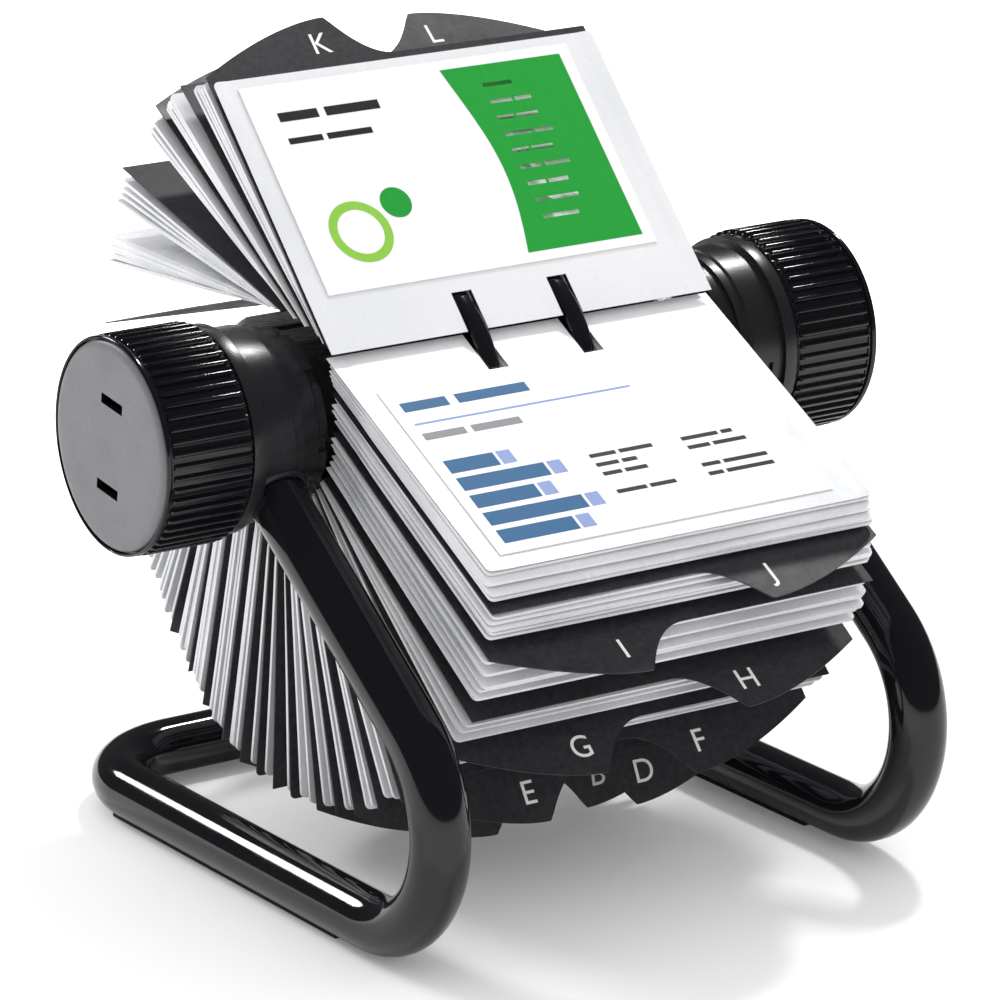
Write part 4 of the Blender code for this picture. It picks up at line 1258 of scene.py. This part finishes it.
def make_floor():
    """A white floor that keeps the object's shadow."""
    mesh = bpy.data.meshes.new("floor")
    work = bmesh.new()
    bmesh.ops.create_grid(work, x_segments=1, y_segments=1, size=FLOOR_REACH)
    work.to_mesh(mesh)
    work.free()
    floor = linked("floor", mesh)
    material = bpy.data.materials.new("floor_white")
    material.use_nodes = True
    nodes = material.node_tree.nodes
    links = material.node_tree.links
    shader = nodes["Principled BSDF"]
    shader.inputs["Base Color"].default_value = (FLOOR_SHADE, FLOOR_SHADE, FLOOR_SHADE, 1.0)
    shader.inputs["Roughness"].default_value = 0.9
    shader.inputs["Specular IOR Level"].default_value = 0.1
    glow = nodes.new("ShaderNodeEmission")
    path = nodes.new("ShaderNodeLightPath")
    place = nodes.new("ShaderNodeTexCoord")
    far = nodes.new("ShaderNodeVectorMath")
    far.operation = "LENGTH"
    links.new(place.outputs["Object"], far.inputs[0])
    fade = nodes.new("ShaderNodeMapRange")
    fade.inputs["From Min"].default_value, fade.inputs["From Max"].default_value = GLOW_DISTANCES
    fade.inputs["To Min"].default_value, fade.inputs["To Max"].default_value = GLOW_LEVELS
    links.new(far.outputs["Value"], fade.inputs["Value"])
    level = nodes.new("ShaderNodeMath")
    level.operation = "MULTIPLY"
    links.new(fade.outputs["Result"], level.inputs[1])
    links.new(path.outputs["Is Camera Ray"], level.inputs[0])
    links.new(level.outputs["Value"], glow.inputs["Strength"])
    both = nodes.new("ShaderNodeAddShader")
    links.new(shader.outputs["BSDF"], both.inputs[0])
    links.new(glow.outputs["Emission"], both.inputs[1])
    links.new(both.outputs["Shader"], nodes["Material Output"].inputs["Surface"])
    mesh.materials.append(material)


def make_world():
    """White where the camera sees it, a soft light from the front, and dark in reflections."""
    world = bpy.data.worlds.new("studio")
    bpy.context.scene.world = world
    world.use_nodes = True
    nodes = world.node_tree.nodes
    links = world.node_tree.links
    back = nodes["Background"]
    back.inputs["Color"].default_value = (1.0, 1.0, 1.0, 1.0)
    direction = nodes.new("ShaderNodeTexCoord")
    facing = nodes.new("ShaderNodeVectorMath")
    facing.operation = "DOT_PRODUCT"
    facing.inputs[1].default_value = FILL_DIRECTION
    links.new(direction.outputs["Generated"], facing.inputs[0])
    fill = nodes.new("ShaderNodeMapRange")
    fill.inputs["From Min"].default_value = -1.0
    fill.inputs["To Min"].default_value = FILL_LOW
    fill.inputs["To Max"].default_value = FILL_HIGH
    links.new(facing.outputs["Value"], fill.inputs["Value"])
    path = nodes.new("ShaderNodeLightPath")
    reflected = nodes.new("ShaderNodeMix")
    links.new(path.outputs["Is Glossy Ray"], reflected.inputs["Factor"])
    links.new(fill.outputs["Result"], reflected.inputs["A"])
    reflected.inputs["B"].default_value = REFLECTED_LEVEL
    seen = nodes.new("ShaderNodeMath")
    seen.operation = "MAXIMUM"
    links.new(path.outputs["Is Camera Ray"], seen.inputs[0])
    links.new(path.outputs["Is Transmission Ray"], seen.inputs[1])
    level = nodes.new("ShaderNodeMix")
    links.new(seen.outputs["Value"], level.inputs["Factor"])
    links.new(reflected.outputs["Result"], level.inputs["A"])
    level.inputs["B"].default_value = 1.0
    links.new(level.outputs["Result"], back.inputs["Strength"])


def add_lamp(name, place, size, power):
    """A soft box that faces the target."""
    light = bpy.data.lights.new(name, "AREA")
    light.shape = "RECTANGLE"
    light.size, light.size_y = size
    light.energy = power
    lamp = linked(name, light)
    lamp.location = place
    lamp.rotation_mode = "QUATERNION"
    lamp.rotation_quaternion = (Vector(LAMP_TARGET) - Vector(place)).to_track_quat("-Z", "Y")


def make_studio():
    make_floor()
    make_world()
    for name, (place, size, power) in LAMPS.items():
        add_lamp(name, place, size, power)
    scene = bpy.context.scene
    scene.view_settings.view_transform = "Standard"
    camera_data = bpy.data.cameras.new("camera")
    camera_data.lens = CAMERA_LENS_MM
    camera_data.sensor_width = CAMERA_SENSOR_MM
    camera_data.clip_start = CAMERA_CLIP_START
    camera_data.clip_end = CAMERA_CLIP_END
    camera = linked("camera", camera_data)
    camera.location = CAMERA_PLACE
    camera.rotation_euler = (math.pi / 2 - CAMERA_PITCH, CAMERA_ROLL, -CAMERA_YAW)
    scene.camera = camera


build_stand()
build_housings()
build_knobs()
build_drum()
build_dividers()
build_blank_leaves()
build_stacks()
for word in ("upper", "lower"):
    build_open_sleeve(word)
build_prints()
make_studio()
